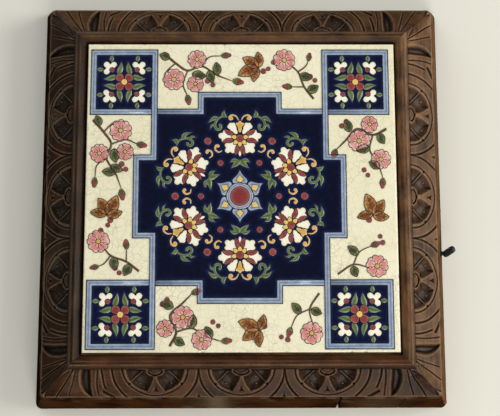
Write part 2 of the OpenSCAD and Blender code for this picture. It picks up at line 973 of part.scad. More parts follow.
module winding_key() {
    lobe_r = key_hub_h / 2;
    color("gold")
        in_case()
            translate([0, barrel_y, key_low - base_z])
                difference() {
                    union() {
                        cylinder(r = key_hub_r, h = key_hub_h);
                        for (side = [-1, 1])
                            translate([side * (key_span - lobe_r), key_t / 2, lobe_r])
                                rotate([90, 0, 0])
                                    cylinder(r = lobe_r, h = key_t);
                        translate([lobe_r - key_span, -key_t / 2, lobe_r / 2])
                            cube([2 * (key_span - lobe_r), key_t, lobe_r]);
                    }
                    translate([0, 0, key_clear])
                        cylinder(r = arbor_r + fit / 2, h = key_hub_h);
                    for (side = [-1, 1])
                        translate([side * (key_span - lobe_r), key_t, lobe_r])
                            rotate([90, 0, 0])
                                cylinder(r = lobe_r * key_hole_share, h = 2 * key_t);
                }
}

module arbor_clip() {
    color("silver")
        in_case()
            translate([0, barrel_y, crown_root_z + near_gap / 2])
                difference() {
                    cylinder(r = clip_r, h = clip_t);
                    translate([0, 0, -over])
                        cylinder(r = arbor_r + fit / 2, h = clip_t + 2 * over);
                }
}

module governor_arbor() {
    color("silver")
        in_case()
            translate([gov_x, 0, 0])
                along_y(gov_end_y - near_gap)
                    cylinder(r = fine_r, h = great_y + wheel_t + near_gap - gov_end_y + near_gap);
}

module governor_pinion() {
    color("silver")
        in_case()
            translate([gov_x, 0, 0])
                along_y(great_y - near_gap)
                    spur(gov_n, gov_m, wheel_t + 2 * near_gap, fine_r + fit / 2, true);
}

module worm_wheel() {
    color("goldenrod")
        in_case()
            translate([gov_x, 0, 0])
                along_y(worm_y)
                    spur(worm_n, gov_m, worm_wheel_t, fine_r + fit / 2);
}

// A right-handed thread: rings of four points swept along the helix, with a gap facing the wheel
module worm_thread() {
    ring_steps = 16;
    count = worm_turns * ring_steps;
    low = worm_core - gov_m / 4;
    root_h = worm_lead * root_share / 2;
    tip_h = worm_lead * tip_share / 2;
    profile = [[low, -root_h], [worm_out, -tip_h], [worm_out, tip_h], [low, root_h]];
    points = [for (k = [0 : count], p = profile)
        let (turn = k * 360 / ring_steps)
            [p[0] * cos(turn), p[0] * sin(turn), p[1] + worm_lead * (k / ring_steps - worm_turns / 2)]];
    sides = [for (k = [0 : count - 1], j = [0 : 3], half = [0, 1])
        let (a = 4 * k + j, b = 4 * k + (j + 1) % 4)
            half == 0 ? [a, b, b + 4] : [a, b + 4, a + 4]];
    last = 4 * count;
    ends = [[0, 3, 2], [0, 2, 1], [last, last + 1, last + 2], [last, last + 2, last + 3]];
    polyhedron(points = points, faces = concat(sides, ends), convexity = 8);
}

module worm_shaft() {
    color("silver")
        in_case()
            translate([worm_x, worm_mid_y, 0])
                union() {
                    translate([0, 0, near_gap / 2])
                        cylinder(r = fine_r, h = gov_top_z + gov_top_t);
                    translate([0, 0, axis_h - worm_lead * (worm_turns + 1) / 2])
                        cylinder(r = worm_core, h = worm_lead * (worm_turns + 1));
                    translate([0, 0, axis_h])
                        worm_thread();
                }
}

module governor_fan() {
    color("goldenrod")
        in_case()
            translate([worm_x, worm_mid_y, fan_z])
                difference() {
                    union() {
                        cylinder(r = fan_hub_r, h = fan_h);
                        translate([-fan_r, -fan_t / 2, 0])
                            cube([2 * fan_r, fan_t, fan_h]);
                    }
                    translate([0, 0, -over])
                        cylinder(r = fine_r + fit / 2, h = fan_h + 2 * over);
                }
}

// A pawl along the ratchet's tangent, under the barrel's edge, with its nose against a tooth's steep face
module click() {
    nose_x = click_l - click_nose_gap;
    color("silver")
        in_case()
            translate([click_at.x, click_at.y, ratchet_z + fit])
                rotate(click_side + 90)
                    difference() {
                        union() {
                            cylinder(r = click_pivot_r, h = click_t);
                            linear_extrude(click_t)
                                polygon([
                                    [0, -near_gap - click_w],
                                    [nose_x, -near_gap - click_w],
                                    [nose_x, click_tooth - near_gap],
                                    [nose_x - click_nose_l, -near_gap],
                                    [0, -near_gap]
                                ]);
                        }
                        translate([0, 0, -over])
                            cylinder(r = click_screw_r + fit, h = click_t + 2 * over);
                    }
}

// A bell crank: one arm runs out through the wall, the other ends beside the fan
module stop_lever() {
    color("#2a2a2c")
        in_case()
            translate([lever_px, lever_py, lever_z])
                difference() {
                    union() {
                        cylinder(r = lever_eye, h = lever_t);
                        rotate(lever_ang)
                            translate([0, -lever_w / 2, 0])
                                cube([lever_l, lever_w, lever_t]);
                        rotate(finger_ang)
                            translate([0, -finger_w / 2, 0])
                                cube([finger_reach, finger_w, lever_t]);
                    }
                    translate([0, 0, -over])
                        cylinder(r = lever_bore, h = lever_t + 2 * over);
                }
}

// A rounded pad with a slot that takes the lever's end
module lever_pad() {
    cap_r = pad_w / 2;
    color("#141414")
        in_case()
            translate([lever_px, lever_py, lever_z + lever_t / 2 - pad_t / 2])
                difference() {
                    rotate(lever_ang)
                        translate([lever_l + cap_r - pad_back, 0, 0])
                            rotate(pad_turn)
                                union() {
                                    cylinder(r = cap_r, h = pad_t);
                                    translate([0, -cap_r, 0])
                                        cube([pad_l - pad_w, pad_w, pad_t]);
                                    translate([pad_l - pad_w, 0, 0])
                                        cylinder(r = cap_r, h = pad_t);
                                }
                    rotate(lever_ang)
                        translate([0, -lever_w / 2 - fit, pad_t / 2 - lever_t / 2 - fit])
                            cube([lever_l + fit, lever_w + 2 * fit, lever_t + 2 * fit]);
                }
}

tile();
tile_board();
board_screws();
carved_rail_back();
carved_rail_left();
carved_rail_front();
carved_rail_right();
plinth_back();
plinth_left();
plinth_front_long();
plinth_front_short();
plinth_right();
corner_blocks();
base_board();
base_screws();
bedplate();
bedplate_screws();
cylinder_bracket_drive();
cylinder_bracket_governor();
bracket_screws();
comb_base();
comb();
comb_screws();
governor_frame();
governor_screw();
barrel_bridge();
bridge_screws();
click_screw();
lever_screw();
music_cylinder();
cylinder_arbor();
cylinder_pinion();
great_wheel();
barrel_drum();
barrel_cover();
mainspring();
winding_arbor();
ratchet_wheel();
winding_key();
arbor_clip();
governor_arbor();
governor_pinion();
worm_wheel();
worm_shaft();
governor_fan();
click();
stop_lever();
lever_pad();
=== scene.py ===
# Musical trivet: a glazed tile in a carved frame on a battered plinth, with a wind-up movement inside.
# Lengths in the shape code are millimetres; the meshes are written in metres.
import json
import bpy
import numpy as np
from mathutils import Matrix, Vector


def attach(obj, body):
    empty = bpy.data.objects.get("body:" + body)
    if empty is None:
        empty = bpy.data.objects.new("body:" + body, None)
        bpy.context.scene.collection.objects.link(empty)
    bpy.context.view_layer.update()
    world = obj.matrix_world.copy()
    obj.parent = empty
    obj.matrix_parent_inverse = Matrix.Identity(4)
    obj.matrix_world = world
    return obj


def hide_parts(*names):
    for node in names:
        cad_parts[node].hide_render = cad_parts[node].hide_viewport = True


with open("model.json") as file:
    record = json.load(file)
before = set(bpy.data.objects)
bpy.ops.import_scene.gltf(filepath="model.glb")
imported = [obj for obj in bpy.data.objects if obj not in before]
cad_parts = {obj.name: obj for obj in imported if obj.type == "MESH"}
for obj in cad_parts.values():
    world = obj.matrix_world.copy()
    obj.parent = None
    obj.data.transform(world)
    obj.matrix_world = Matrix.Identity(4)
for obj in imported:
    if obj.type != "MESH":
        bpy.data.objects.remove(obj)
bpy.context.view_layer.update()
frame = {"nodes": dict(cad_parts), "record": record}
nodes = frame["nodes"]
mm = 0.001


def gridQuads(rows, cols, closeRows=False, closeCols=False):
    # corner numbers of a rows x cols grid of points, row after row
    r = np.arange(rows if closeRows else rows - 1)
    c = np.arange(cols if closeCols else cols - 1)
    a, b = np.meshgrid(r, c, indexing="ij")
    a2, b2 = (a + 1) % rows, (b + 1) % cols
    quads = np.stack([a * cols + b, a2 * cols + b, a2 * cols + b2, a * cols + b2], -1)
    return quads.reshape(-1, 4)


def makeMesh(name, points, quads, polygons, values, material, body, replaces=()):
    # points (n, 3) in mm; quads (m, 4); polygons are further corner lists; values become point attributes
    polygons = [np.asarray(p) for p in polygons]
    corners = np.concatenate([quads.ravel()] + polygons).astype(np.int32)
    sizes = np.concatenate([np.full(len(quads), 4), [len(p) for p in polygons]]).astype(np.int32)
    starts = np.concatenate([[0], np.cumsum(sizes)[:-1]]).astype(np.int32)
    mesh = bpy.data.meshes.new(name)
    mesh.vertices.add(len(points))
    mesh.vertices.foreach_set("co", (np.asarray(points, float) * mm).ravel())
    mesh.loops.add(len(corners))
    mesh.loops.foreach_set("vertex_index", corners)
    mesh.polygons.add(len(starts))
    mesh.polygons.foreach_set("loop_start", starts)
    mesh.polygons.foreach_set("use_smooth", np.full(len(starts), True))
    mesh.update(calc_edges=True)
    for key, value in (values or {}).items():
        value = np.asarray(value, float)
        kind = "FLOAT" if value.ndim == 1 else "FLOAT_VECTOR"
        mesh.attributes.new(key, kind, "POINT").data.foreach_set(
            "value" if value.ndim == 1 else "vector", value.ravel())
    mesh.validate()
    piece = bpy.data.objects.new(name, mesh)
    bpy.context.scene.collection.objects.link(piece)
    mesh.materials.append(material)
    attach(piece, body)
    if replaces:
        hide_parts(*replaces)


def smoothStep(x, low, high):
    # 0 below low and 1 above high, with 3t squared minus 2t cubed between them
    t = np.clip((x - low) / (high - low), 0, 1)
    return t * t * (3 - 2 * t)


def waves(x, y, size, seed, count=9):
    # a soft irregular field in -1..1: a sum of plane waves with seeded directions and phases
    rng = np.random.default_rng(seed)
    total = 0
    for _ in range(count):
        turn, phase = rng.uniform(0, 2 * np.pi, 2)
        step = size * rng.uniform(0.6, 1.6)
        total = total + np.sin((x * np.cos(turn) + y * np.sin(turn)) * 2 * np.pi / step + phase)
    return total / count ** 0.5 / 1.5


def blur(field, passes, axis):
    # a running mean of three, repeated
    for _ in range(passes):
        low = np.roll(field, 1, axis)
        high = np.roll(field, -1, axis)
        ends = [slice(None), slice(None)]
        ends[axis] = 0
        low[tuple(ends)] = field[tuple(ends)]
        ends[axis] = -1
        high[tuple(ends)] = field[tuple(ends)]
        field = (low + field + high) / 3
    return field


def resample(points, step):
    # points along a polyline, one every step or closer, with its corners kept
    out = []
    for a, b in zip(points[:-1], points[1:]):
        n = max(1, int(np.ceil(np.hypot(*(np.subtract(b, a))) / step)))
        out += [tuple(np.add(a, np.subtract(b, a) * k / n)) for k in range(n)]
    return np.array(out + [tuple(points[-1])])


def newMaterial(name):
    # the material, its node tree and its own Principled BSDF
    mat = bpy.data.materials.new(name)
    mat.use_nodes = True
    return mat, mat.node_tree, mat.node_tree.nodes["Principled BSDF"]


def feed(tree, socket, value):
    # another node's socket is linked, anything else is typed in
    if isinstance(value, bpy.types.NodeSocket):
        tree.links.new(value, socket)
    else:
        socket.default_value = value


def addNode(tree, kind, inputs=None, **settings):
    # settings first, because some of them change which inputs there are
    node = tree.nodes.new(kind)
    for key, value in settings.items():
        setattr(node, key, value)
    for key, value in (inputs or {}).items():
        feed(tree, node.inputs[key], value)
    return node


def mixColor(tree, factor, a, b, blend="MIX"):
    # the Mix node keeps its colours in sockets 6 and 7
    return addNode(tree, "ShaderNodeMix", {0: factor, 6: a, 7: b}, data_type="RGBA", blend_type=blend,
                   clamp_result=True).outputs[2]


def mathNode(tree, operation, a, b, clamp=False):
    # one sum or product of two values or sockets, held to 0..1 if clamp is set
    return addNode(tree, "ShaderNodeMath", {0: a, 1: b}, operation=operation, use_clamp=clamp).outputs[0]


def times(tree, a, b):
    # a times b
    return mathNode(tree, "MULTIPLY", a, b)


def plus(tree, a, b, clamp=False):
    # a plus b
    return mathNode(tree, "ADD", a, b, clamp)


def rangeNode(tree, value, low, high, outLow=0.0, outHigh=1.0):
    # low..high carried over to outLow..outHigh and held there; high may be the lower one, to turn it round
    return addNode(tree, "ShaderNodeMapRange", {"Value": value, "From Min": low, "From Max": high,
                                                "To Min": outLow, "To Max": outHigh}).outputs["Result"]


def noiseNode(tree, vector, scale, detail=4.0, rough=0.55, distortion=0.0):
    # a soft grey noise in 0..1, mostly near its middle; the scale is in waves per unit of the vector
    return addNode(tree, "ShaderNodeTexNoise", {"Vector": vector, "Scale": scale, "Detail": detail,
                                                "Roughness": rough, "Distortion": distortion}).outputs["Fac"]


def stretch(tree, vector, scale, turn=0.0):
    # the place scaled per axis, and turned about Z by so many radians
    return addNode(tree, "ShaderNodeMapping", {"Vector": vector, "Scale": scale,
                                               "Rotation": (0, 0, turn)}).outputs[0]


def objectPlace(tree):
    # the place in the piece's own frame, in metres
    return addNode(tree, "ShaderNodeTexCoord").outputs["Object"]


def meshValue(tree, name, output="Fac"):
    # what makeMesh stored at each point under that name
    return addNode(tree, "ShaderNodeAttribute", attribute_name=name).outputs[output]


def finish(tree, shader, color, roughness, height, bump, distance, specular=None, invert=False):
    # colour, roughness, and a bump of the height: bump is its strength, distance its depth in metres
    feed(tree, shader.inputs["Base Color"], color)
    feed(tree, shader.inputs["Roughness"], roughness)
    if specular is not None:
        shader.inputs["Specular IOR Level"].default_value = specular
    relief = addNode(tree, "ShaderNodeBump", {"Height": height, "Strength": bump, "Distance": distance},
                     invert=invert)
    tree.links.new(relief.outputs[0], shader.inputs["Normal"])


def newGroup(name, inputs, outputs):
    # a shader node group with named sockets: (name, kind, default) in, (name, kind) out
    tree = bpy.data.node_groups.new(name, "ShaderNodeTree")
    kinds = {"value": "NodeSocketFloat", "color": "NodeSocketColor", "vector": "NodeSocketVector"}
    for key, kind, default in inputs:
        socket = tree.interface.new_socket(name=key, in_out="INPUT", socket_type=kinds[kind])
        socket.default_value = default
    for key, kind in outputs:
        tree.interface.new_socket(name=key, in_out="OUTPUT", socket_type=kinds[kind])
    return tree, tree.nodes.new("NodeGroupInput").outputs, tree.nodes.new("NodeGroupOutput").inputs


def give(tree, gives, **results):
    # what a group puts out, by the names of its sockets
    for key, socket in results.items():
        tree.links.new(socket, gives[key])


def useGroup(tree, group, inputs):
    # the outputs of a group, fed with these inputs
    return addNode(tree, "ShaderNodeGroup", inputs, node_tree=group).outputs


def srgb(r, g, b):
    # 0..255 as seen on a screen, to the linear colour that Blender's sockets take
    c = np.array([r, g, b]) / 255
    c = np.where(c <= 0.04045, c / 12.92, ((c + 0.055) / 1.055) ** 2.4)
    return (*[float(v) for v in c], 1.0)


def buildWoodGroup():
    # long grain from noise stretched along Place's X; crests get a painted highlight with some rubbed wear,
    # grooves get painted shade with dirt, scoops go grey with dust and painted sheen
    tree, given, gives = newGroup(
        "AgedWoodPaintedLight",
        [("Place", "vector", (0, 0, 0)), ("Dark", "color", srgb(38, 24, 15)),
         ("Light", "color", srgb(92, 66, 46)), ("Grey", "color", srgb(112, 104, 94)),
         ("Crest", "value", 0.0), ("DirtAndShade", "value", 0.0), ("Scoop", "value", 0.0), ("Worn", "value", 0.0)],
        [("Color", "color"), ("Roughness", "value"), ("Height", "value")])
    place, dark, light, scoop, dirtAndShade = (given[key] for key in ("Place", "Dark", "Light", "Scoop", "DirtAndShade"))
    grain = noiseNode(tree, stretch(tree, place, (0.045, 0.55, 0.55)), 1.0, 5.0, 0.6, 0.6)
    pores = noiseNode(tree, stretch(tree, place, (0.22, 2.6, 2.6)), 1.0, 3.0, 0.5)
    patches = noiseNode(tree, place, 0.055, 3.0, 0.55)
    specks = noiseNode(tree, place, 1.4, 2.0, 0.5)
    warm = rangeNode(tree, noiseNode(tree, place, 0.032, 3.0, 0.6), 0.35, 0.65, 0.35, 1.0)
    tone = plus(tree, times(tree, grain, 0.50), times(tree, patches, 0.70))
    color = mixColor(tree, rangeNode(tree, tone, 0.42, 0.78), dark, light)
    color = mixColor(tree, warm, color, srgb(255, 234, 206), "MULTIPLY")
    color = mixColor(tree, times(tree, rangeNode(tree, pores, 0.44, 0.34), 0.40), color, dark)
    # grey in the scoops: dust with painted sheen, and light specks of dust and painted glints
    greyed = times(tree, scoop, rangeNode(tree, patches, 0.25, 0.75, 0.35, 1.0))
    color = mixColor(tree, times(tree, greyed, 0.88), color, given["Grey"])
    dustAndGlints = times(tree, rangeNode(tree, specks, 0.56, 0.72), scoop)
    color = mixColor(tree, times(tree, dustAndGlints, 0.30), color, srgb(150, 142, 126))
    # painted shade with dirt in the grooves
    color = mixColor(tree, times(tree, dirtAndShade, 0.93), color, srgb(9, 5, 3))
    # painted highlight with some rubbed wear on the crests
    crest = times(tree, given["Crest"], rangeNode(tree, specks, 0.35, 0.62, 0.25, 1.0))
    wearAndHighlight = mixColor(tree, 0.34, light, srgb(186, 158, 126))
    color = mixColor(tree, times(tree, crest, 0.75), color, wearAndHighlight)
    worn = times(tree, given["Worn"], rangeNode(tree, specks, 0.3, 0.7, 0.2, 1.0))
    color = mixColor(tree, worn, color, srgb(112, 98, 76))
    rough = plus(tree, rangeNode(tree, grain, 0.3, 0.7, 0.32, 0.46), times(tree, dirtAndShade, 0.25), clamp=True)
    height = plus(tree, times(tree, pores, 0.5), times(tree, grain, 0.6))
    give(tree, gives, Color=color, Roughness=rough, Height=height)
    return tree


woodGroup = buildWoodGroup()


def woodMaterial(name, dark, light, grey=(84, 70, 56), bump=0.25, specular=0.13):
    # the mesh stores grain (a place along the rail), crest (painted highlight with some rubbed wear), the
    # grooves' dirt with painted shade, scoop (dust with painted sheen) and worn
    mat, tree, shader = newMaterial(name)
    out = useGroup(tree, woodGroup, {
        "Place": meshValue(tree, "grain", "Vector"), "Dark": srgb(*dark), "Light": srgb(*light),
        "Grey": srgb(*grey), "Crest": meshValue(tree, "crest"), "DirtAndShade": meshValue(tree, "dirtAndShade"),
        "Scoop": meshValue(tree, "scoop"), "Worn": meshValue(tree, "worn")})
    finish(tree, shader, out["Color"], out["Roughness"], out["Height"], bump, 0.0004, specular)
    return mat


carving = {
    "lunettePitch": 54.5,       # distance between the lunettes along a side
    "bedRadius": 18.9,          # scooped bed of a lunette
    "bossRadius": 4.3,          # half-round boss at its root
    "squeeze": 1.097,           # how much a lunette is flattened across the slope
    "scoopDepth": 3.3,
    "scoopWidth": 5.6,          # distance from a scoop's edge to its full depth
    "lineRadius": 20.8,         # fine line outside the rim
    "arcRadius": 27.25,         # incised arc that meets its neighbour at the fillet
    "endArcRadius": 34.0,       # short arc towards the corner
    "slopeStart": 110.0,        # where the fillet ends, from the centre
    "cosSlope": 0.8974,
    "middle": 74.0, "ends": 93.0,      # the wood is greyed up to the one and from the other on
    "strokes": ((81.0, 18.2, 87.5, 14.8, 2.6, 1.2),      # near a corner: from, to, width, depth
                (104.6, 1.4, 109.6, 16.6, 1.1, 0.75), (106.0, 0.6, 118.2, 18.6, 1.3, 0.95)),
    "leafRoot": (107.2, 1.2), "leafTip": (125.6, 18.2),
    "overall": 1.15,            # all depths are multiplied by this
    "handCut": 0.10,            # unevenness of the knife
}


def segmentDistance(x, y, ax, ay, bx, by):
    # distance to the line from a to b, and the share of the way along it, held to 0..1
    dx, dy = bx - ax, by - ay
    k = np.clip(((x - ax) * dx + (y - ay) * dy) / (dx * dx + dy * dy), 0, 1)
    return np.hypot(x - ax - k * dx, y - ay - k * dy), k


def vee(distance, width, depth):
    # a groove with straight sides and a soft lip
    return depth * smoothStep(width / 2 - distance, -0.15, width / 2)


def carvedDepth(s, t, seed):
    # s runs along the side, t outwards from the fillet, both seen from above; the depth is the deepest of
    # a scooped bed with a boss and a stem, incised arcs, and a crescent, strokes and a leaf at each end
    c = carving
    s = s + 0.28 * waves(s, t, 19, seed)
    t = t + 0.22 * waves(s, t, 23, seed + 1)
    up = t / c["cosSlope"]
    side = s - np.clip(np.round(s / c["lunettePitch"]), -1, 1) * c["lunettePitch"]
    u = np.abs(side)
    r = np.hypot(u, up * c["squeeze"])
    stem = np.interp(up, [0, 5, 7.5, 9, 12, 16, 19], [0.8, 0.8, 1.0, 1.5, 2.8, 5.4, 8.4])
    wobble = 0.35 * waves(side, up, 11, seed + 2)
    bed = np.maximum(np.maximum(r - c["bedRadius"], c["bossRadius"] + 0.9 - r), stem - u) + wobble * 0.4
    inside = np.clip(-bed / c["scoopWidth"], 0, 1)
    depth = c["scoopDepth"] * (1 - (1 - inside) ** 2) * smoothStep(up, -0.2, 0.8)
    # a ridge divides each half of the bed, and the boss stands as a low dome in a deep crescent
    ridge, _ = segmentDistance(u, up, 8.6, 2.0, 16.6, 10.6)
    depth = depth * (1 - 0.30 * np.exp(-(ridge / 0.45) ** 2))
    boss = 0.9 * smoothStep(r, 1.5, c["bossRadius"] + 0.1) * (r < c["bossRadius"] + 0.4) * (up > 0)
    moat = vee(np.abs(r - c["bossRadius"] - 0.7), 2.2, 2.3) * smoothStep(up, 0.5, 2.5)
    # a raised dot in each lower petal
    dot = np.hypot(u - 9.6, up - 10.6)
    depth = np.maximum(depth, np.maximum(boss, moat)) - 0.55 * smoothStep(1.0 - dot, 0, 0.8)
    cuts = [depth]
    # punched notches: where the ridge meets the rim, in the stem's foot and between two lunettes
    cuts.append(1.5 * smoothStep(1.4 - np.hypot(u - 16.6, up - 10.8), 0, 1.3))
    notch = np.maximum(u - 0.5 * np.clip(up - 12.2, 0, 4), np.abs(up - 14.4) - 2.0)
    cuts.append(0.8 * smoothStep(-notch, -0.2, 0.9))
    spandrel = np.abs(np.abs(s) - c["lunettePitch"] / 2)
    punch = np.maximum(spandrel * 1.6 + (17.2 - t) * 0.9 - 1.6, 14.6 - t)
    cuts.append(1.0 * smoothStep(-punch, -0.1, 1.2) * (spandrel < 6))
    # the fine line and the incised arcs
    cuts.append(vee(np.abs(r - c["lineRadius"]), 1.3, 0.85))
    cuts.append(vee(np.abs(np.hypot(u, up) - c["arcRadius"]), 1.9, 1.15))
    e = np.abs(s)
    reach = np.hypot(e - c["lunettePitch"], t)
    cuts.append(vee(np.abs(reach - c["endArcRadius"]), 1.7, 1.2) * smoothStep(13.2 - t, 0, 1.5) * (e > 80))
    # the corner: a cross line, a crescent, strokes, a leaf and a line beside the mitre
    cuts.append(vee(np.abs(e - 91.6 + 0.012 * (t - 9) ** 2), 1.2, 0.8) * (t > 0.6) * (t < 17.6))
    bulge = 8.2 * np.sqrt(np.clip(1 - ((t - 6.5) / 11.5) ** 2, 0, 1))
    cuts.append(2.7 * smoothStep(np.minimum(e - 94.4, 94.4 + bulge - e), -0.2, 3.0) * (t < 18))
    for fromS, fromT, toS, toT, width, cutDepth in c["strokes"]:
        cuts.append(vee(segmentDistance(e, t, fromS, fromT, toS, toT)[0], width, cutDepth))
    root, tip = c["leafRoot"], c["leafTip"]
    leaf, along = segmentDistance(e, t, *root, *tip)
    across = (e - root[0]) * 0.679 - (t - root[1]) * 0.735
    width = 0.5 + 2.3 * np.sin(np.pi * np.clip(along, 0, 1)) ** 0.7
    lean = np.clip((across + width) / (2 * width), 0, 1)
    cuts.append(1.5 * smoothStep(width - np.abs(across), 0, 0.5) * lean ** 1.5
                * (leaf < width + 0.4) * (along > 0.01) * (along < 0.99))
    mitre = np.abs((e - (c["slopeStart"] + t)) * 0.707)
    cuts.append(vee(np.abs(mitre - 2.0), 1.1, 0.7) * smoothStep(t, 1.5, 4.0))
    depth = np.maximum.reduce(cuts) * c["overall"]
    # the unevenness fades out at the mitres
    depth = depth + c["handCut"] * waves(s, t, 7, seed + 3) * smoothStep(c["slopeStart"] + t - e, 0.5, 4)
    return depth * smoothStep(t, -0.05, 0.5)


def railOutline(p, half, radius, straight=108.0):
    # where a moulding line runs: straight along its side, then an eighth of a turn of radius to the mitre
    run = half - radius + radius * np.pi / 4
    d = np.where(np.abs(p) <= 1, np.abs(p) * straight, straight + (np.abs(p) - 1) * (run - straight))
    turn = np.clip(d - (half - radius), 0, None) / np.maximum(radius, 1e-6)
    x = np.where(turn > 0, half - radius + radius * np.sin(turn), d)
    y = np.where(turn > 0, half - radius + radius * np.cos(turn), half)
    return np.sign(p) * x, y


def turned(points, quarter):
    # a side towards +Y turned by quarters of a turn, anticlockwise
    c, s = [(1, 0), (0, 1), (-1, 0), (0, -1)][quarter % 4]
    x, y, z = points[..., 0], points[..., 1], points[..., 2]
    return np.stack([c * x - s * y, s * x + c * y, z], -1)


rail = {
    # the four runs of the section: distance from the centre, height
    "fillet": [(101.5, 38.0), (101.5, 43.3), (101.8, 44.0), (103.4, 45.35), (105.1, 46.45), (105.5, 46.55),
               (107.3, 46.25), (107.75, 46.0), (109.2, 44.4), (109.85, 42.7), (110.0, 41.35)],
    "slope": [(110.0, 41.0), (127.7, 32.3)],
    "edge": [(128.15, 31.95), (128.3, 31.4), (128.3, 30.2), (128.25, 29.3), (128.0, 29.0)],
    "underside": [(126.0, 29.0), (107.5, 29.0), (107.5, 38.0), (102.0, 38.0)],
    "cornerRadius": 3.2,
    "wearAndHighlight": ((105.2, 0.5, 0.45), (107.7, 0.45, 0.85)),     # the fillet's arrises, a painted highlight with some rubbed wear: place, width, amount
    "creaseShade": (110.1, 0.55, 0.75),                            # and the painted shade in the crease at its foot
    "highest": 46.9,
}


def railSection():
    # the fillet is softened twice by a running mean of 1, 2, 1; also how many points fillet and slope have
    fillet = resample(rail["fillet"], 0.3)
    keep = fillet[:, 0] > 101.6
    soft = fillet.copy()
    for _ in range(2):
        soft[1:-1] = (soft[:-2] + 2 * soft[1:-1] + soft[2:]) / 4
    fillet[keep] = soft[keep]
    slope = resample(rail["slope"], 0.36)
    section = np.concatenate([fillet, slope, rail["edge"], resample(rail["underside"], 4.0)])
    return section, len(fillet), len(slope)


def carvedRail(name, quarter, seed, material, node):
    # the section swept along its side and round half of each corner; the carving only lowers points
    c = carving
    section, filletCount, slopeCount = railSection()
    rows = len(section)
    ends = 1 + np.linspace(0, 1, 60)[1:]
    p = np.concatenate([-ends[::-1], np.linspace(-1, 1, 560), ends])
    cols = len(p)
    half = section[:, 0][:, None] + 0 * p[None, :]
    x, y = railOutline(p[None, :] + 0 * half, half, 0.02 + rail["cornerRadius"] * smoothStep(half, 116, 128))
    z = section[:, 1][:, None] + 0 * p[None, :]
    row = np.arange(rows)[:, None]
    onSlope = (row >= filletCount) & (row < filletCount + slopeCount + 2)
    onFillet = (row >= 3) & (row < filletCount)
    s = np.where(np.abs(x) > 108, np.sign(x) * np.minimum(np.abs(x), half), x)
    cut = np.where(onSlope, carvedDepth(s, np.maximum(half - c["slopeStart"], 0), seed), 0)
    cut = cut * smoothStep(128.4 - half, 0.0, 0.5)
    away = smoothStep(half - np.abs(x), 0.3, 4)      # the rubbed unevenness fades out at the mitres
    rub = 0.16 * waves(x, half * 3, 31, seed + 5) * away + 0.05 * waves(x, half, 5, seed + 6) * away
    z = z - np.maximum(cut, 0) / 0.95 + np.where(onFillet, rub, 0) * 0.8
    z = np.minimum(z, rail["highest"])
    points = turned(np.stack([x, y, z], -1), quarter).reshape(-1, 3)
    # relief against its own blur finds crests and grooves: crests get a painted highlight with some rubbed
    # wear, grooves painted shade with dirt
    relief = z - blur(blur(z, 5, 1), 4, 0)
    top = slice(2, filletCount + slopeCount + 2)
    crest = np.zeros_like(z)
    dirtAndShade = np.zeros_like(z)
    crest[top] = np.clip(relief[top] * 4.0 - 0.20, 0, 1)
    dirtAndShade[top] = np.clip(-relief[top] * 5.4 - 0.08, 0, 1)
    # painted highlight with some rubbed wear along the fillet's arrises, painted shade in the crease at its
    # foot
    wearAndHighlight = sum(amount * np.exp(-((half - place) / width) ** 2) for place, width, amount in rail["wearAndHighlight"])
    place, width, amount = rail["creaseShade"]
    creaseShade = amount * np.exp(-((half - place) / width) ** 2)
    crest[top] = np.clip(crest[top] + (wearAndHighlight * (0.75 + 0.5 * waves(x, half, 17, seed + 8)))[top], 0, 1)
    dirtAndShade[top] = np.clip(dirtAndShade[top] + creaseShade[top], 0, 1)
    # the wall beside the tile gets painted shade, the shadow in the gap round the tile, less so upwards
    wall = 24
    dirtAndShade[:wall] = np.maximum(dirtAndShade[:wall], np.linspace(0.97, 0.1, wall)[:, None])
    # the scoops' grey, dust with painted sheen, grows with the depth of the cut
    scoop = np.clip(cut / c["scoopDepth"] * 1.2, 0, 1)
    scoop = scoop * ((np.abs(s) < c["middle"]) | (np.abs(s) > c["ends"])) * onSlope
    worn = np.clip(waves(x, half, 37, seed + 7) * 0.5 - 0.28, 0, 0.4)
    grain = np.stack([x, half + 0 * x, z], -1).reshape(-1, 3) + np.array([seed * 57.0, 0, seed * 13.0])
    caps = [np.arange(rows) * cols, (np.arange(rows) * cols + cols - 1)[::-1]]
    makeMesh(name, points, gridQuads(rows, cols, closeRows=True)[:, ::-1], caps,
             {"grain": grain, "crest": crest.ravel(), "dirtAndShade": dirtAndShade.ravel(), "scoop": scoop.ravel(),
              "worn": worn.ravel()}, material, "case", (node,))


carvedLitAndShadedTones = {
    # darkest and lightest wood, greyed wood in the scoops, seed, quarter turns; the four sides are lit and
    # shaded copies of one wood: painted light on the right side, painted shade on the left, the front and back
    # between
    "back": ((32, 18, 8), (92, 64, 38), (44, 35, 26), 2, 0),
    "left": ((15, 7, 1), (52, 32, 13), (30, 23, 15), 3, 1),
    "front": ((26, 12, 3), (81, 49, 22), (36, 27, 16), 5, 2),
    "right": ((42, 27, 16), (128, 98, 71), (56, 46, 38), 7, 3),
}
for sideName, (dark, light, grey, seed, quarter) in carvedLitAndShadedTones.items():
    wood = woodMaterial("carvedWood_" + sideName, dark, light, grey)
    carvedRail("carvedFrame_" + sideName, quarter, seed, wood, "carved_rail_" + sideName)
print("carved frame done")


plinth = {
    "top": 29.0, "topHalf": 129.7, "footHalf": 138.0, "wallHalf": 118.0, "seatHalf": 126.0, "seatZ": 12.0,
    "cornerRadius": 4.2,
    "slot": (23.0, 38.0, 15.7, 20.3),     # from, to along the side, lower and upper edge
    "slotFace": (133.5, 132.19),          # where the outer face stands at those two edges
    "joint": (63.1, 64.9),                # open joint in the front
    "fineJoint": 105.0,                   # closed joint nearer the corner
}


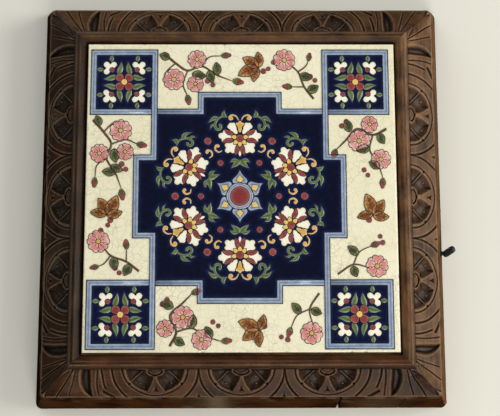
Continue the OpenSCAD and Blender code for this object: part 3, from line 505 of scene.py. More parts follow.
def plinthSection():
    # the outer face and the top's outer edge first, then the rest of the section; and how many points those are
    q = plinth
    low, high = q["slot"][2:]
    outer = resample([(q["footHalf"] - 0.25, 0.5), (q["slotFace"][0], low), (q["slotFace"][1], high),
                      (q["topHalf"] + 0.15, q["top"] - 0.9)], 1.1)
    top = [(q["topHalf"] - 0.15, q["top"] - 0.25), (q["topHalf"] - 0.8, q["top"]), (q["seatHalf"], q["top"])]
    inner = resample([(q["wallHalf"], q["top"]), (q["wallHalf"], high), (q["wallHalf"], low),
                      (q["wallHalf"], q["seatZ"]), (q["seatHalf"], q["seatZ"]), (q["seatHalf"], 0.0),
                      (q["footHalf"] - 0.9, 0.0)], 2.6)
    return np.concatenate([outer, top, inner]), len(outer) + 2


def slotWalls(section, outerCount, columns, cols):
    # four walls that join the edges of the hole in the outer face with those of the hole in the inner one
    z0, z1 = plinth["slot"][2:]
    atSlot = (section[:, 1] > z0 - 1e-6) & (section[:, 1] < z1 + 1e-6)
    outRows = [r for r in range(outerCount) if atSlot[r]]
    inRows = [r for r in range(outerCount, len(section))
              if atSlot[r] and abs(section[r, 0] - plinth["wallHalf"]) < 1e-6]
    upwards = sorted(outRows, key=lambda r: section[r, 1])
    downwards = sorted(inRows, key=lambda r: -section[r, 1])
    lowOut, highOut, highIn, lowIn = upwards[0], upwards[-1], downwards[0], downwards[-1]
    walls = []
    for a, b in zip(columns[:-1], columns[1:]):
        walls.append([lowIn * cols + a, lowIn * cols + b, lowOut * cols + b, lowOut * cols + a])
        walls.append([highIn * cols + b, highIn * cols + a, highOut * cols + a, highOut * cols + b])
    first, last = (np.array([r * cols + col for r in upwards + downwards]) for col in (columns[0], columns[-1]))
    return np.array(walls), [first, last[::-1]]


def plinthRail(name, quarter, seed, material, node, low=None, high=None, slot=False, joints=(), patches=()):
    # the section swept along one side; low and high end the piece square to its length instead of in a mitre;
    # joints are scored across its face, patches are worn places (x, half width, amount)
    q = plinth
    section, outerCount = plinthSection()
    straight = 108.0
    first = -straight if low is None else low
    last = straight if high is None else high
    xs = np.arange(np.ceil(first), np.floor(last) + 0.5)
    extra = [first, last] + [j + d for j in joints for d in (-0.45, -0.15, 0.15, 0.45)]
    extra += list(q["slot"][:2]) if slot else []
    xs = np.unique(np.round(np.concatenate([xs, extra]), 4))
    ends = 1 + np.linspace(0, 1, 34)[1:]
    p = xs / straight
    if low is None:
        p = np.concatenate([-ends[::-1], p])
    if high is None:
        p = np.concatenate([p, ends])
    cols = len(p)
    half = section[:, 0][:, None] + 0 * p[None, :]
    outside = smoothStep(half, 127, 129.5)
    radius = 0.02 + q["cornerRadius"] * outside
    x, y = railOutline(p[None, :] + 0 * half, half, radius)
    z = section[:, 1][:, None] + 0 * p[None, :]
    onFace = np.zeros((len(section), 1))
    onFace[:outerCount] = 1
    away = smoothStep(half - np.abs(x), 4.5, 9)
    dent = np.clip(waves(x, z * 2, 9, seed) - 0.9, 0, 1) * 0.9 + 0.10 * (1 + waves(x, z, 33, seed + 1))
    dent = dent * onFace * away * (0.35 + 0.65 * smoothStep(z, 20, 28))
    groove = 0 * x
    for j in joints:
        groove = groove + 0.5 * smoothStep(0.5 - np.abs(x - j), 0, 0.3) * onFace
    y = y - dent - groove
    points = turned(np.stack([x, y, z], -1), quarter)
    # a painted highlight along the top outer edge of the outer face
    edge = np.exp(-((z - q["top"]) / 1.1) ** 2) * onFace
    crest = np.clip(edge * (0.25 + 0.5 * waves(x, half, 12, seed + 2)), 0, 1)
    # darker in dents and joint grooves, and painted shade on the inner faces above the seat
    dirtAndShade = np.clip(dent * 1.2 + groove * 2.0, 0, 1) + 0.5 * (half < q["seatHalf"] + 0.5) * (z > q["seatZ"])
    worn = 0 * x
    for place, size, amount in patches:
        worn = worn + amount * np.exp(-((x - place) / size) ** 2) * onFace
    worn = worn + np.clip(waves(x, z, 26, seed + 3) - 0.75, 0, 0.35) * onFace
    grain = np.stack([x, half, z], -1).reshape(-1, 3) + np.array([seed * 91.0, 0, seed * 17.0])
    quads = gridQuads(len(section), cols, closeRows=True)
    ends = np.arange(len(section)) * cols
    caps = [ends[::-1], ends + cols - 1]
    if slot:
        # the slot goes through both faces: their cells there are left out
        s0, s1, z0, z1 = q["slot"]
        cx, cy, cz = (v.reshape(-1)[quads].mean(1) for v in (x, half, z))
        faces = (cy > 127) | (np.abs(cy - q["wallHalf"]) < 0.1)
        quads = quads[~((cx > s0) & (cx < s1) & (cz > z0) & (cz < z1) & faces)]
        columns = np.where((p * straight > s0 - 1e-6) & (p * straight < s1 + 1e-6))[0]
        walls, sideWalls = slotWalls(section, outerCount, columns, cols)
        quads = np.concatenate([quads, walls])
        caps = caps + sideWalls
    makeMesh(name, points.reshape(-1, 3), quads, caps,
             {"grain": grain, "crest": crest.ravel(), "dirtAndShade": np.clip(dirtAndShade, 0, 1).ravel(),
              "scoop": 0 * x.ravel(), "worn": np.clip(worn, 0, 1).ravel()},
             material, "case", (node,))


plinthLitAndShadedTones = {
    # darkest and lightest wood; the four sides are lit and shaded copies of one wood: painted light on the
    # right side, painted shade on the left, the front and back between
    "back": ((26, 15, 8), (64, 44, 28)), "left": ((12, 6, 3), (38, 25, 15)),
    "front": ((24, 12, 6), (70, 45, 26)), "right": ((56, 41, 29), (124, 98, 73)),
}
plinthWood = {key: woodMaterial("plinthWood_" + key, dark, light, bump=0.3, specular=0.0)
              for key, (dark, light) in plinthLitAndShadedTones.items()}
plinthRail("plinthSide_back", 0, 21, plinthWood["back"], "plinth_back")
plinthRail("plinthSide_left", 1, 22, plinthWood["left"], "plinth_left")
plinthRail("plinthSide_frontLong", 2, 23, plinthWood["front"], "plinth_front_long", low=-plinth["joint"][0],
           patches=((16.0, 7.0, 0.8), (22, 16, 0.25)))
plinthRail("plinthSide_frontShort", 2, 24, plinthWood["front"], "plinth_front_short", high=-plinth["joint"][1],
           joints=(-plinth["fineJoint"],), patches=((-90.0, 14.0, 0.3),))
plinthRail("plinthSide_right", 3, 25, plinthWood["right"], "plinth_right", slot=True)
print("plinth done")


tile = {
    "half": 100.0, "under": 38.0,
    "ground": 46.35,              # the cream glaze
    "root": 46.15,                # every coloured cell and line starts below the cream
    "field": 46.45,               # the navy glaze
    "fieldUnder": 46.2,
    "cell": 46.80, "line": 46.96,                                # tops of cells and of plain lines
    "lineRise": 0.04,             # how far a cell's own line stands above it
    "petalTop": 46.70, "sepalTop": 46.82, "heartTop": 46.89,     # the blossoms' three layers
    "shift": (-0.87, -0.99),      # the design sits a little off the tile's middle
    "band": 1.9,                  # half of the pale border's width
    "bandTop": 46.78, "seamTop": 46.88,                          # its top, and the grey seam along it
    "squareNear": 55.4, "squareFar": 95.1,
    "armHalf": 25.1, "armReach": 66.6,
    "ring": 37.8,                 # how far out the six blossoms stand
    "inkWidth": 0.29,             # half width of a blossom's dark lines
}


def buildGlazeGroup():
    # the rim's value, shifted by a cloudy noise, mixes the deep colour with the thin one; so does some grit
    tree, given, gives = newGroup(
        "PooledGlaze", [("Place", "vector", (0, 0, 0)), ("Rim", "value", 0.0), ("Thin", "color", (1, 1, 1, 1)),
                        ("Deep", "color", (0, 0, 0, 1)), ("Mottle", "value", 0.5)],
        [("Color", "color"), ("Height", "value")])
    cloud = noiseNode(tree, given["Place"], 260.0, 3.0)
    grit = noiseNode(tree, given["Place"], 1500.0, 2.0)
    drift = times(tree, mathNode(tree, "SUBTRACT", cloud, 0.5), given["Mottle"])
    pooled = mixColor(tree, plus(tree, given["Rim"], drift, clamp=True), given["Deep"], given["Thin"])
    pooled = mixColor(tree, times(tree, rangeNode(tree, grit, 0.62, 0.75), 0.25), pooled, given["Thin"])
    give(tree, gives, Color=pooled, Height=cloud)
    return tree


glazeGroup = buildGlazeGroup()


def glazeMaterial(name, thin, deep, roughness=0.16, mottle=0.5, specular=0.4):
    # glaze runs thin over a cell's rim and pools in its middle: the value rim goes from 0 to 1 outwards
    mat, tree, shader = newMaterial(name)
    out = useGroup(tree, glazeGroup, {"Place": objectPlace(tree), "Rim": meshValue(tree, "rim"),
                                      "Thin": srgb(*thin), "Deep": srgb(*deep), "Mottle": mottle})
    finish(tree, shader, out["Color"], roughness, out["Height"], 0.15, 0.0003, specular)
    return mat


def creamMaterial():
    # cream glaze crazed in two sizes of cracks, with a brown stain near one corner and tired edges
    mat, tree, shader = newMaterial("creamGlaze")
    place = objectPlace(tree)
    warp = addNode(tree, "ShaderNodeTexNoise", {"Vector": place, "Scale": 90.0, "Detail": 2.0})
    bent = addNode(tree, "ShaderNodeMix", {0: 0.006, 4: place, 5: warp.outputs["Color"]}, data_type="VECTOR")
    strong = noiseNode(tree, place, 28.0, 3.0)
    cracks = []
    for scale, width, low, high, least, most in ((230.0, 0.050, 0.38, 0.66, 0.15, 0.95),
                                                 (120.0, 0.028, 0.3, 0.65, 0.2, 0.6)):
        cells = addNode(tree, "ShaderNodeTexVoronoi", {"Vector": bent.outputs[1], "Scale": scale},
                        feature="DISTANCE_TO_EDGE")
        cracks.append(times(tree, rangeNode(tree, cells.outputs["Distance"], width, 0.004),
                            rangeNode(tree, strong, low, high, least, most)))
    crack = mathNode(tree, "MAXIMUM", *cracks)
    color = mixColor(tree, noiseNode(tree, place, 16.0, 4.0), srgb(222, 215, 178), srgb(244, 240, 214))
    smear = rangeNode(tree, noiseNode(tree, place, 42.0, 5.0, 0.6), 0.56, 0.75)
    color = mixColor(tree, times(tree, smear, 0.35), color, srgb(196, 180, 132))
    color = mixColor(tree, times(tree, crack, 0.50), color, srgb(128, 112, 80))
    away = addNode(tree, "ShaderNodeVectorMath", {0: place, 1: (-0.078, -0.1, 0.046)}, operation="DISTANCE")
    stain = times(tree, rangeNode(tree, away.outputs["Value"], 0.034, 0.006), 0.40)
    stain = times(tree, stain, rangeNode(tree, strong, 0.3, 0.6, 0.3, 1.0))
    color = mixColor(tree, stain, color, srgb(150, 124, 78))
    color = mixColor(tree, meshValue(tree, "rim"), color, srgb(120, 96, 66))
    finish(tree, shader, color, 0.2, crack, 0.2, 0.0002, 0.4, invert=True)
    return mat


glazes = {
    "navy": glazeMaterial("navyGlaze", (24, 40, 94), (3, 7, 31), 0.10, 0.45, 0.20),
    "pale": glazeMaterial("paleBlueGlaze", (182, 192, 202), (118, 138, 164), 0.16, 1.2),
    "grey": glazeMaterial("greyBlueGlaze", (124, 134, 158), (82, 94, 126), 0.18),
    "pearl": glazeMaterial("pearlGlaze", (190, 192, 198), (140, 146, 160), 0.16, 0.9),
    "white": glazeMaterial("whiteGlaze", (214, 204, 172), (240, 238, 218), 0.14, 0.4),
    "maroon": glazeMaterial("maroonGlaze", (180, 112, 102), (128, 52, 52), 0.16, 1.1),
    "red": glazeMaterial("redGlaze", (150, 84, 78), (126, 44, 46), 0.16, 0.7),
    "yellow": glazeMaterial("yellowGlaze", (240, 216, 150), (226, 184, 92), 0.16),
    "ochre": glazeMaterial("ochreGlaze", (240, 214, 150), (206, 158, 78), 0.16),
    "green": glazeMaterial("greenGlaze", (148, 158, 112), (66, 88, 44), 0.16, 0.7),
    "pink": glazeMaterial("pinkGlaze", (248, 228, 210), (204, 128, 122), 0.16, 1.9),
    "leafGreen": glazeMaterial("leafGlaze", (160, 154, 98), (56, 76, 42), 0.18, 1.5),
    "brown": glazeMaterial("brownGlaze", (220, 168, 98), (122, 68, 30), 0.18, 1.8),
    "twig": glazeMaterial("twigGlaze", (136, 112, 84), (84, 62, 44), 0.2, 1.2),
    "darkLine": glazeMaterial("darkLineGlaze", (30, 26, 29), (14, 12, 18), 0.22),
    "brownLine": glazeMaterial("brownLineGlaze", (66, 46, 34), (36, 24, 18), 0.22),
    "blueLine": glazeMaterial("blueLineGlaze", (34, 42, 70), (14, 20, 44), 0.2),
}
parts = {}


def addPart(key, points, quads, tris=(), polygons=(), rim=None):
    # the pieces of one colour are gathered here and become one mesh at the end
    part = parts.setdefault(key, {"points": [], "quads": [], "polygons": [], "rim": [], "count": 0})
    base = part["count"]
    part["points"].append(points)
    part["quads"].append(np.asarray(quads) + base)
    part["polygons"] += [np.asarray(p) + base for p in [*polygons, *tris]]
    part["rim"].append(rim)
    part["count"] += len(points)


def addCell(key, outline, top=None, dome=0.30):
    # a domed cell of glaze: rings of the outline drawn in towards its middle, closed underneath
    top = top or tile["cell"]
    outline = np.asarray(outline, float)
    after = np.roll(outline, -1, 0)
    if (outline[:, 0] * after[:, 1] - outline[:, 1] * after[:, 0]).sum() < 0:
        outline = outline[::-1]
    middle = outline.mean(0)
    shares = np.array([1.0, 0.985, 0.93, 0.8, 0.6, 0.35])
    lifts = np.array([tile["root"], top - dome, top - dome * 0.45, top - dome * 0.15, top - dome * 0.03, top])
    n = len(outline)
    rings = middle + shares[:, None, None] * (outline - middle)[None]
    z = np.broadcast_to(lifts[:, None], rings.shape[:2])
    points = np.concatenate([rings, z[..., None]], -1).reshape(-1, 3)
    points = np.concatenate([points, [[*middle, top]]])
    rim = np.concatenate([np.repeat(np.array([1.0, 1.0, 0.75, 0.35, 0.1, 0.0]), n), [0.0]])
    last = (len(shares) - 1) * n
    k = np.arange(n)
    tris = np.stack([last + k, np.full(n, len(points) - 1), last + (k + 1) % n], -1)
    quads = gridQuads(len(shares), n, closeCols=True)
    addPart(key, points, quads[:, ::-1], tris[:, ::-1], [k[::-1]], rim)


def leftNormals(ahead):
    # unit vectors square to the given directions, on their left
    ahead = ahead / np.linalg.norm(ahead, axis=1)[:, None]
    return np.stack([-ahead[:, 1], ahead[:, 0]], -1)


def loft(key, flat, top, dome, rim, closed=False):
    # seven points across each place of a path: down at the root, up by the dome, nearly flat and back
    root, edge, flank = tile["root"], top - dome, top - dome * 0.2
    z = np.broadcast_to([root, edge, flank, top, flank, edge, root], flat.shape[:2])
    points = np.concatenate([flat, z[..., None]], -1).reshape(-1, 3)
    caps = [] if closed else [np.arange(7), (np.arange(7) + (len(flat) - 1) * 7)[::-1]]
    addPart(key, points, gridQuads(len(flat), 7, closeRows=closed, closeCols=True), (), caps,
            np.broadcast_to(rim, flat.shape[:2]).reshape(-1))


def addBlade(key, spine, halfWidth, top=None, dome=0.30, closed=False):
    # a strip along a spine, with a half width at each of its points or one for all
    spine = np.asarray(spine, float)
    ahead = np.roll(spine, -1, 0) - np.roll(spine, 1, 0)
    if not closed:
        ahead[0], ahead[-1] = spine[1] - spine[0], spine[-1] - spine[-2]
    width = np.broadcast_to(halfWidth, (len(spine),))
    across = np.array([-1.0, -0.93, -0.5, 0.0, 0.5, 0.93, 1.0])
    flat = spine[:, None] + leftNormals(ahead)[:, None] * (across[None, :, None] * width[:, None, None])
    loft(key, flat, top or tile["cell"], dome, np.abs(across) ** 1.5, closed)


def addLine(key, path, width=0.27, closed=False, top=None):
    # a low raised line of one half width along a path
    addBlade(key, path, width, top or tile["line"], 0.14, closed)


def addStrip(key, corners, offset, halfWidth, top, dome):
    # a straight-sided band along a polyline with mitred corners, offset to its left
    corners = np.asarray(corners, float)
    normal = leftNormals(np.diff(corners, axis=0))
    before = np.concatenate([normal[:1], normal])
    after = np.concatenate([normal, normal[-1:]])
    mitre = (before + after) / (1 + (before * after).sum(1))[:, None]
    across = np.array([-1.0, -0.9, -0.45, 0.0, 0.45, 0.9, 1.0]) * halfWidth + offset
    flat = corners[:, None] + mitre[:, None] * across[None, :, None]
    loft(key, flat, top, dome, np.abs(np.linspace(-1, 1, 7)))


def unionOutline(circles, middle, count=56):
    # how far each ray from the middle reaches inside any of the circles (x, y, radius)
    turn = np.linspace(0, 2 * np.pi, count, endpoint=False)
    ray = np.stack([np.cos(turn), np.sin(turn)], -1)
    reach = np.zeros(count)
    for x, y, r in circles:
        gap = np.array([x - middle[0], y - middle[1]])
        along = ray @ gap
        spare = r * r - (gap @ gap - along ** 2)
        reach = np.maximum(reach, np.where(spare > 0, along + np.sqrt(np.maximum(spare, 0)), 0))
    reach = (np.roll(reach, 1) + 2 * reach + np.roll(reach, -1)) / 4
    return np.asarray(middle) + ray * reach[:, None]


def curve(points, count=24):
    # a smooth path through points: Catmull-Rom, worked out for every place at once
    p = np.asarray(points, float)
    p = np.concatenate([[2 * p[0] - p[1]], p, [2 * p[-1] - p[-2]]])
    t = np.linspace(0, len(p) - 3 - 1e-9, count)
    k = t.astype(int)
    u = (t - k)[:, None]
    a, b, c, d = p[k], p[k + 1], p[k + 2], p[k + 3]
    return 0.5 * (2 * b + (c - a) * u + (2 * a - 5 * b + 4 * c - d) * u ** 2 + (3 * b - a - 3 * c + d) * u ** 3)


def put(points, origin=(0, 0), angle=0.0, flip=1, size=1.0):
    # local (across, outwards) to the tile: outwards points along angle, in degrees
    p = np.asarray(points, float) * size
    a = np.radians(angle)
    out = np.array([np.cos(a), np.sin(a)])
    side = np.array([np.sin(a), -np.cos(a)]) * flip
    return np.asarray(origin) + p[:, :1] * side + p[:, 1:] * out


def disc(x, y, r, count=28):
    # points round a circle
    turn = np.linspace(0, 2 * np.pi, count, endpoint=False)
    return np.stack([x + r * np.cos(turn), y + r * np.sin(turn)], -1)


def outward(angle):
    # the unit vector at an angle in degrees
    return np.array([np.cos(np.radians(angle)), np.sin(np.radians(angle))])


def outlined(key, outline, lineKey, width=0.26, top=None, dome=0.30):
    # a cell with its own line, which stands a little above that cell's top
    addCell(key, outline, top, dome)
    addLine(lineKey, outline, width, True, (top or tile["cell"]) + tile["lineRise"])


def lens(length, width, start=0.0, bend=0.0, count=16):
    # a pointed leaf along +Y as a spine and its half widths: a sine that is widest a little below the middle
    q = np.linspace(0, 1, count)
    spine = np.stack([bend * np.sin(np.pi * q * 0.8), start + length * q], -1)
    return spine, np.maximum(width * np.sin(np.pi * q ** 0.85) ** 0.8, 0.05)


def leafOutline(spine, width):
    # once round: up the left side and back down the right
    side = leftNormals(np.gradient(spine, axis=0)) * width[:, None]
    return np.concatenate([spine + side, (spine - side)[::-1]])


def profileOutline(along, halfWidths, count):
    # an outline about the +Y axis from half widths at given places
    y = np.linspace(along[0], along[-1], count)
    return leafOutline(np.stack([0 * y, y], -1), np.interp(y, along, halfWidths))


def greenLeaf(path, count, width, place, fullest=0.7):
    # half width: a sine of the way along, raised to fullest, so that it is widest past or before the middle
    q = np.linspace(0, 1, count)
    addBlade("green", put(curve(path, count), *place), np.maximum(width * np.sin(np.pi * q ** fullest), 0.05))


# the ring of blossoms round a rosette; all shapes lie along +Y, away from the rosette

broadPetal = unionOutline([(0, 8.2, 2.9), (-2.7, 9.2, 1.9), (2.7, 9.2, 1.9), (0, 11.6, 2.0), (0, 5.6, 1.9),
                           (0, 4.0, 1.1)], (0, 7.6), 60)
slimPetal = unionOutline([(0, 8.0, 2.4), (1.6, 10.2, 1.5), (-1.5, 9.9, 1.5), (0.1, 11.2, 1.2), (0, 5.4, 1.6),
                          (0, 4.2, 1.0)], (0, 7.4), 52)
tipPetal = unionOutline([(0, 8.8, 1.25), (0, 10.4, 1.0), (0, 11.6, 0.55), (0, 7.0, 1.0)], (0, 9.2), 36)
crownPetal = unionOutline([(0, 6.2, 1.4), (-1.9, 9.4, 1.1), (1.9, 9.4, 1.1), (0, 10.5, 1.2), (0, 8.3, 1.8),
                           (0, 4.6, 1.0)], (0, 7.4), 48)
blossomPlan = {
    # on both sides of the axis: petals (turn, outline, size), sepals (turn, start, length, half width, bend)
    "petals": ((33, slimPetal, 1.0), (82, broadPetal, 1.05), (135, broadPetal, 0.97)),
    "sepals": ((56, 4.8, 6.8, 1.45, 0.9), (107, 4.4, 7.2, 1.5, -1.0), (161, 4.8, 6.6, 1.45, 0.9)),
    "hearts": (-78, 78, -134, 134, 180),      # turns of the small yellow petals
    "heart": (4.0, 1.45, 1.8),                # their length, half width and start
    "centre": 2.4,
    # ochre curls: path, width, knob (x, y, radius)
    "curls": (([(0.9, 11.9), (2.3, 14.4), (5.0, 15.4), (6.8, 14.0), (6.2, 12.7), (5.3, 13.0)], 1.0,
               (5.6, 13.2, 1.25)),
              ([(11.6, -8.2), (13.8, -9.0), (15.9, -7.4), (15.6, -5.0), (14.3, -4.5)], 0.9,
               (14.2, -5.0, 1.1))),
    "stem": [(8.2, 14.2), (11.2, 14.6), (14.6, 12.6), (16.2, 9.2), (15.2, 6.2), (12.9, 6.2), (12.4, 8.2),
             (13.6, 9.2)],
    # green leaves: path, points, half width
    "leaves": (([(13.6, 13.0), (17.0, 13.2), (20.6, 10.2)], 14, 1.55),
               ([(9.4, 14.0), (10.6, 16.0), (10.0, 18.6)], 12, 1.6),
               ([(15.6, 9.4), (18.2, 8.4), (19.2, 6.0)], 12, 0.9),
               ([(0.5, -14.0), (2.2, -16.4), (5.8, -19.6)], 14, 2.1),
               ([(1.2, -14.6), (4.0, -14.4), (6.6, -15.8)], 12, 1.45)),
}


def blossom(origin, angle):
    # white petals below, maroon sepals and the crown over them, the yellow heart on top
    plan, ink = blossomPlan, tile["inkWidth"]
    low, mid, high = tile["petalTop"], tile["sepalTop"], tile["heartTop"]
    for turn, outline, size in plan["petals"]:
        for side in (1, -1):
            shape = put(put(outline, (0, 0), 90 - turn), origin, angle, side, size)
            outlined("white", shape, "darkLine", ink, low, 0.14)
    outlined("white", put(put(tipPetal, (0, 0), -90), origin, angle), "darkLine", ink - 0.02, low, 0.14)
    for turn, start, length, width, bend in plan["sepals"]:
        shape = put(leafOutline(*lens(length, width, start, bend)), (0, 0), 90 - turn)
        for side in (1, -1):
            outlined("maroon", put(shape, origin, angle, side), "darkLine", ink, mid, 0.1)
    outlined("ochre", put(crownPetal, origin, angle), "darkLine", ink, mid, 0.1)
    for turn in plan["hearts"]:
        shape = put(leafOutline(*lens(*plan["heart"])), (0, 0), 90 - turn)
        outlined("yellow", put(shape, origin, angle), "darkLine", ink - 0.05, high, 0.07)
    outlined("maroon", put(disc(0, 0, plan["centre"]), origin, angle), "darkLine", ink, high + 0.03, 0.05)
    for side in (1, -1):
        place = (origin, angle, side)
        width = np.interp(np.linspace(0, 1, 24), [0, 0.5, 0.85, 1], [0.35, 0.75, 0.9, 0.8])
        for path, share, knob in plan["curls"]:
            addBlade("ochre", put(curve(path), *place), width * share)
            addCell("ochre", put(disc(*knob, 16), *place))
        width = np.interp(np.linspace(0, 1, 34), [0, 0.3, 0.7, 0.9, 1], [0.4, 0.85, 1.0, 1.0, 0.85])
        addBlade("green", put(curve(plan["stem"], 34), *place), width)
        for path, count, width in plan["leaves"]:
            greenLeaf(path, count, width, place)


rosettePlan = {
    # half widths along a ray, for its pale ogee and the yellow star in it
    "ogee": ([8.2, 9.4, 10.6, 11.8, 13.0, 14.4, 15.8, 17.2], [4.4, 4.95, 4.9, 4.0, 2.7, 1.4, 0.6, 0.05]),
    "star": ([8.9, 9.7, 10.3, 11.0, 11.8, 12.6, 14.2], [0.6, 1.3, 2.6, 1.9, 1.9, 1.0, 0.05]),
    "dots": ((25.0, 2.0), (41.5, 2.45)),           # reach and radius of the maroon dots between the rays
    "rings": ((8.7, 0.22), (7.5, 0.14), (6.1, 0.28)),
}
middle = np.array(tile["shift"])
for angle in range(30, 390, 60):
    blossom(middle + outward(angle) * tile["ring"], angle)
    outlined("pale", put(profileOutline(*rosettePlan["ogee"], 26), middle, angle), "blueLine", 0.22)
    outlined("yellow", put(profileOutline(*rosettePlan["star"], 16), middle, angle), "blueLine", 0.18,
             tile["cell"] + 0.07)
    for reach, radius in rosettePlan["dots"]:
        outlined("maroon", disc(*(middle + outward(angle + 30) * reach), radius), "blueLine", 0.22)
addCell("pearl", disc(*middle, 8.7, 48), tile["cell"] + 0.04, 0.1)
for radius, width in rosettePlan["rings"]:
    addLine("blueLine", disc(*middle, radius, 64), width, True)
addCell("red", disc(*middle, 6.15, 40), tile["cell"] + 0.10, 0.12)

# the four corner squares

squarePlan = {
    "petal": unionOutline([(0, 4.25, 2.75), (-0.9, 4.6, 2.0), (0.9, 4.6, 2.0), (0, 2.4, 1.7)], (0, 4.0), 40),
    "trefoil": unionOutline([(0, 4.0, 2.15), (3.4, 0.6, 2.1), (-3.4, 0.6, 2.1), (0, 0.5, 2.7)], (0, 0.9), 60),
    "trefoilReach": 12.6,
    "berry": (0, -1.1, 1.7, 20),
    "longLeaf": ([(0.3, 6.5), (2.9, 7.5), (5.5, 8.9), (8.1, 11.2)], 16, 2.0),
    "smallLeaf": ([(3.5, 15.4), (5.1, 17.1), (6.9, 19.0)], 12, 1.55),
    "ink": 0.28,
}
corner = (tile["squareNear"] + tile["squareFar"]) / 2
squares = [np.array([qx, qy]) for qx in (-1, 1) for qy in (-1, 1)]
for square in squares:
    plan, origin = squarePlan, middle + square * corner
    for angle in (45, 135, 225, 315):
        near = put([(0, plan["trefoilReach"])], origin, angle)[0]
        outlined("maroon", put(plan["petal"], origin, angle), "darkLine", plan["ink"])
        outlined("white", put(plan["trefoil"], near, angle), "darkLine", plan["ink"])
        outlined("maroon", put(disc(*plan["berry"]), near, angle), "darkLine", plan["ink"],
                 tile["cell"] + 0.08, 0.2)
        for side in (1, -1):
            greenLeaf(*plan["longLeaf"], (origin, angle, side), 0.8)
            greenLeaf(*plan["smallLeaf"], (origin, angle, side), 1.0)
    outlined("yellow", disc(*origin, 2.0), "blueLine", 0.22, tile["cell"] + 0.13, 0.1)

# the pale borders: uprights run over the level ones where they cross

near, far, arm, reach, half = (tile[k] for k in ("squareNear", "squareFar", "armHalf", "armReach", "band"))
sides = [(near + half, near), (far, near), (far, far), (near, far), (near, arm), (reach, arm), (reach, -arm),
         (near, -arm), (near, -far), (far, -far), (far, -near), (near + half, -near)]
ends = [(near - half, near), (arm, near), (arm, reach), (-arm, reach), (-arm, near), (-near + half, near)]
borders = [np.array(path) for path in (sides, [(-x, y) for x, y in sides], ends, [(x, -y) for x, y in ends])]
for path in borders:
    addStrip("pale", path + middle, 0.0, half - 0.12, tile["bandTop"], 0.22)
    addStrip("grey", path + middle, 0.0, 0.2, tile["seamTop"], 0.1)
    for side, key in ((1, "darkLine"), (-1, "blueLine")):
        addStrip(key, path + middle, side * (half - 0.1), 0.27, tile["line"], 0.14)

# the four cream panels: a trailing vine with round flowers, buds, berries and broad leaves


def panelLeaf(key, place, angle, length, width, bend=0.5):
    # a leaf with an outline, a midrib and three pairs of veins
    spine, wide = lens(length, width, 0.0, bend, 18)
    shape = put(leafOutline(spine, wide), place, angle)
    addCell(key, shape)
    addLine("brownLine", shape, 0.26, True)
    addLine("brownLine", put(spine[1:-2], place, angle), 0.16)
    for k in (5, 8, 11):
        for side in (1, -1):
            vein = np.linspace(spine[k], spine[k] + (side * wide[k] * 0.7, 0.9), 4)
            addLine("brownLine", put(vein, place, angle), 0.12)


def roundFlower(place, angle, size=1.0, count=5):
    # petals with a notch each, a short line up every petal and a round middle
    outline = unionOutline([(-1.4, 4.3, 1.9), (1.4, 4.3, 1.9), (0, 2.7, 1.6)], (0, 3.6), 44)
    for k in range(count):
        outlined("pink", put(outline, place, angle + k * 360 / count, 1, size), "brownLine", 0.24)
    for k in range(count):
        ray = put([(0, 1.6), (0, 2.4), (0, 3.3)], place, angle + k * 360 / count, 1, size)
        addLine("brownLine", ray, 0.13)
    outlined("ochre", disc(*place, 1.35 * size, 20), "brownLine", 0.2, tile["cell"] + 0.1)


def bud(place, angle, size=1.0):
    # a closed bud in a green cup
    outline = unionOutline([(0, 2.2, 1.7), (0, 3.8, 1.1), (0, 4.8, 0.6)], (0, 2.4), 36)
    outlined("maroon", put(outline, place, angle, 1, size), "brownLine", 0.24)
    cup = unionOutline([(0, 0.6, 1.1), (-0.9, 1.4, 0.7), (0.9, 1.4, 0.7)], (0, 0.9), 28)
    outlined("leafGreen", put(cup, place, angle, 1, size), "brownLine", 0.2, tile["cell"] + 0.08)


def vine(origin, angle, flip, layout):
    # a layout drawn for the upper panel, turned to another side and mirrored where flip is -1
    def at(x, y):
        return put([(x, y)], origin, angle, flip)[0]

    def heading(degrees):
        return angle - 90 + (degrees if flip > 0 else 180 - degrees)

    for path, width in layout["stems"]:
        spine = put(curve(path, 40), origin, angle, flip)
        taper = np.interp(np.linspace(0, 1, 40), [0, 0.8, 1], [width, width * 0.7, 0.25])
        addBlade("twig", spine, taper)
        addLine("brownLine", spine, 0.12)
    for x, y, turn, size in layout["flowers"]:
        roundFlower(at(x, y), heading(turn), size)
    for x, y, turn, size in layout["buds"]:
        bud(at(x, y), heading(turn), size)
    for x, y, turn, length, width in layout["leaves"]:
        panelLeaf("leafGreen", at(x, y), heading(turn), length, width)
    for x, y, turn, length, width in layout["brownLeaves"]:
        panelLeaf("brown", at(x, y), heading(turn), length, width, 0.9)
    for x, y, r in layout["berries"]:
        outlined("maroon", disc(*at(x, y), r, 20), "brownLine", 0.22)


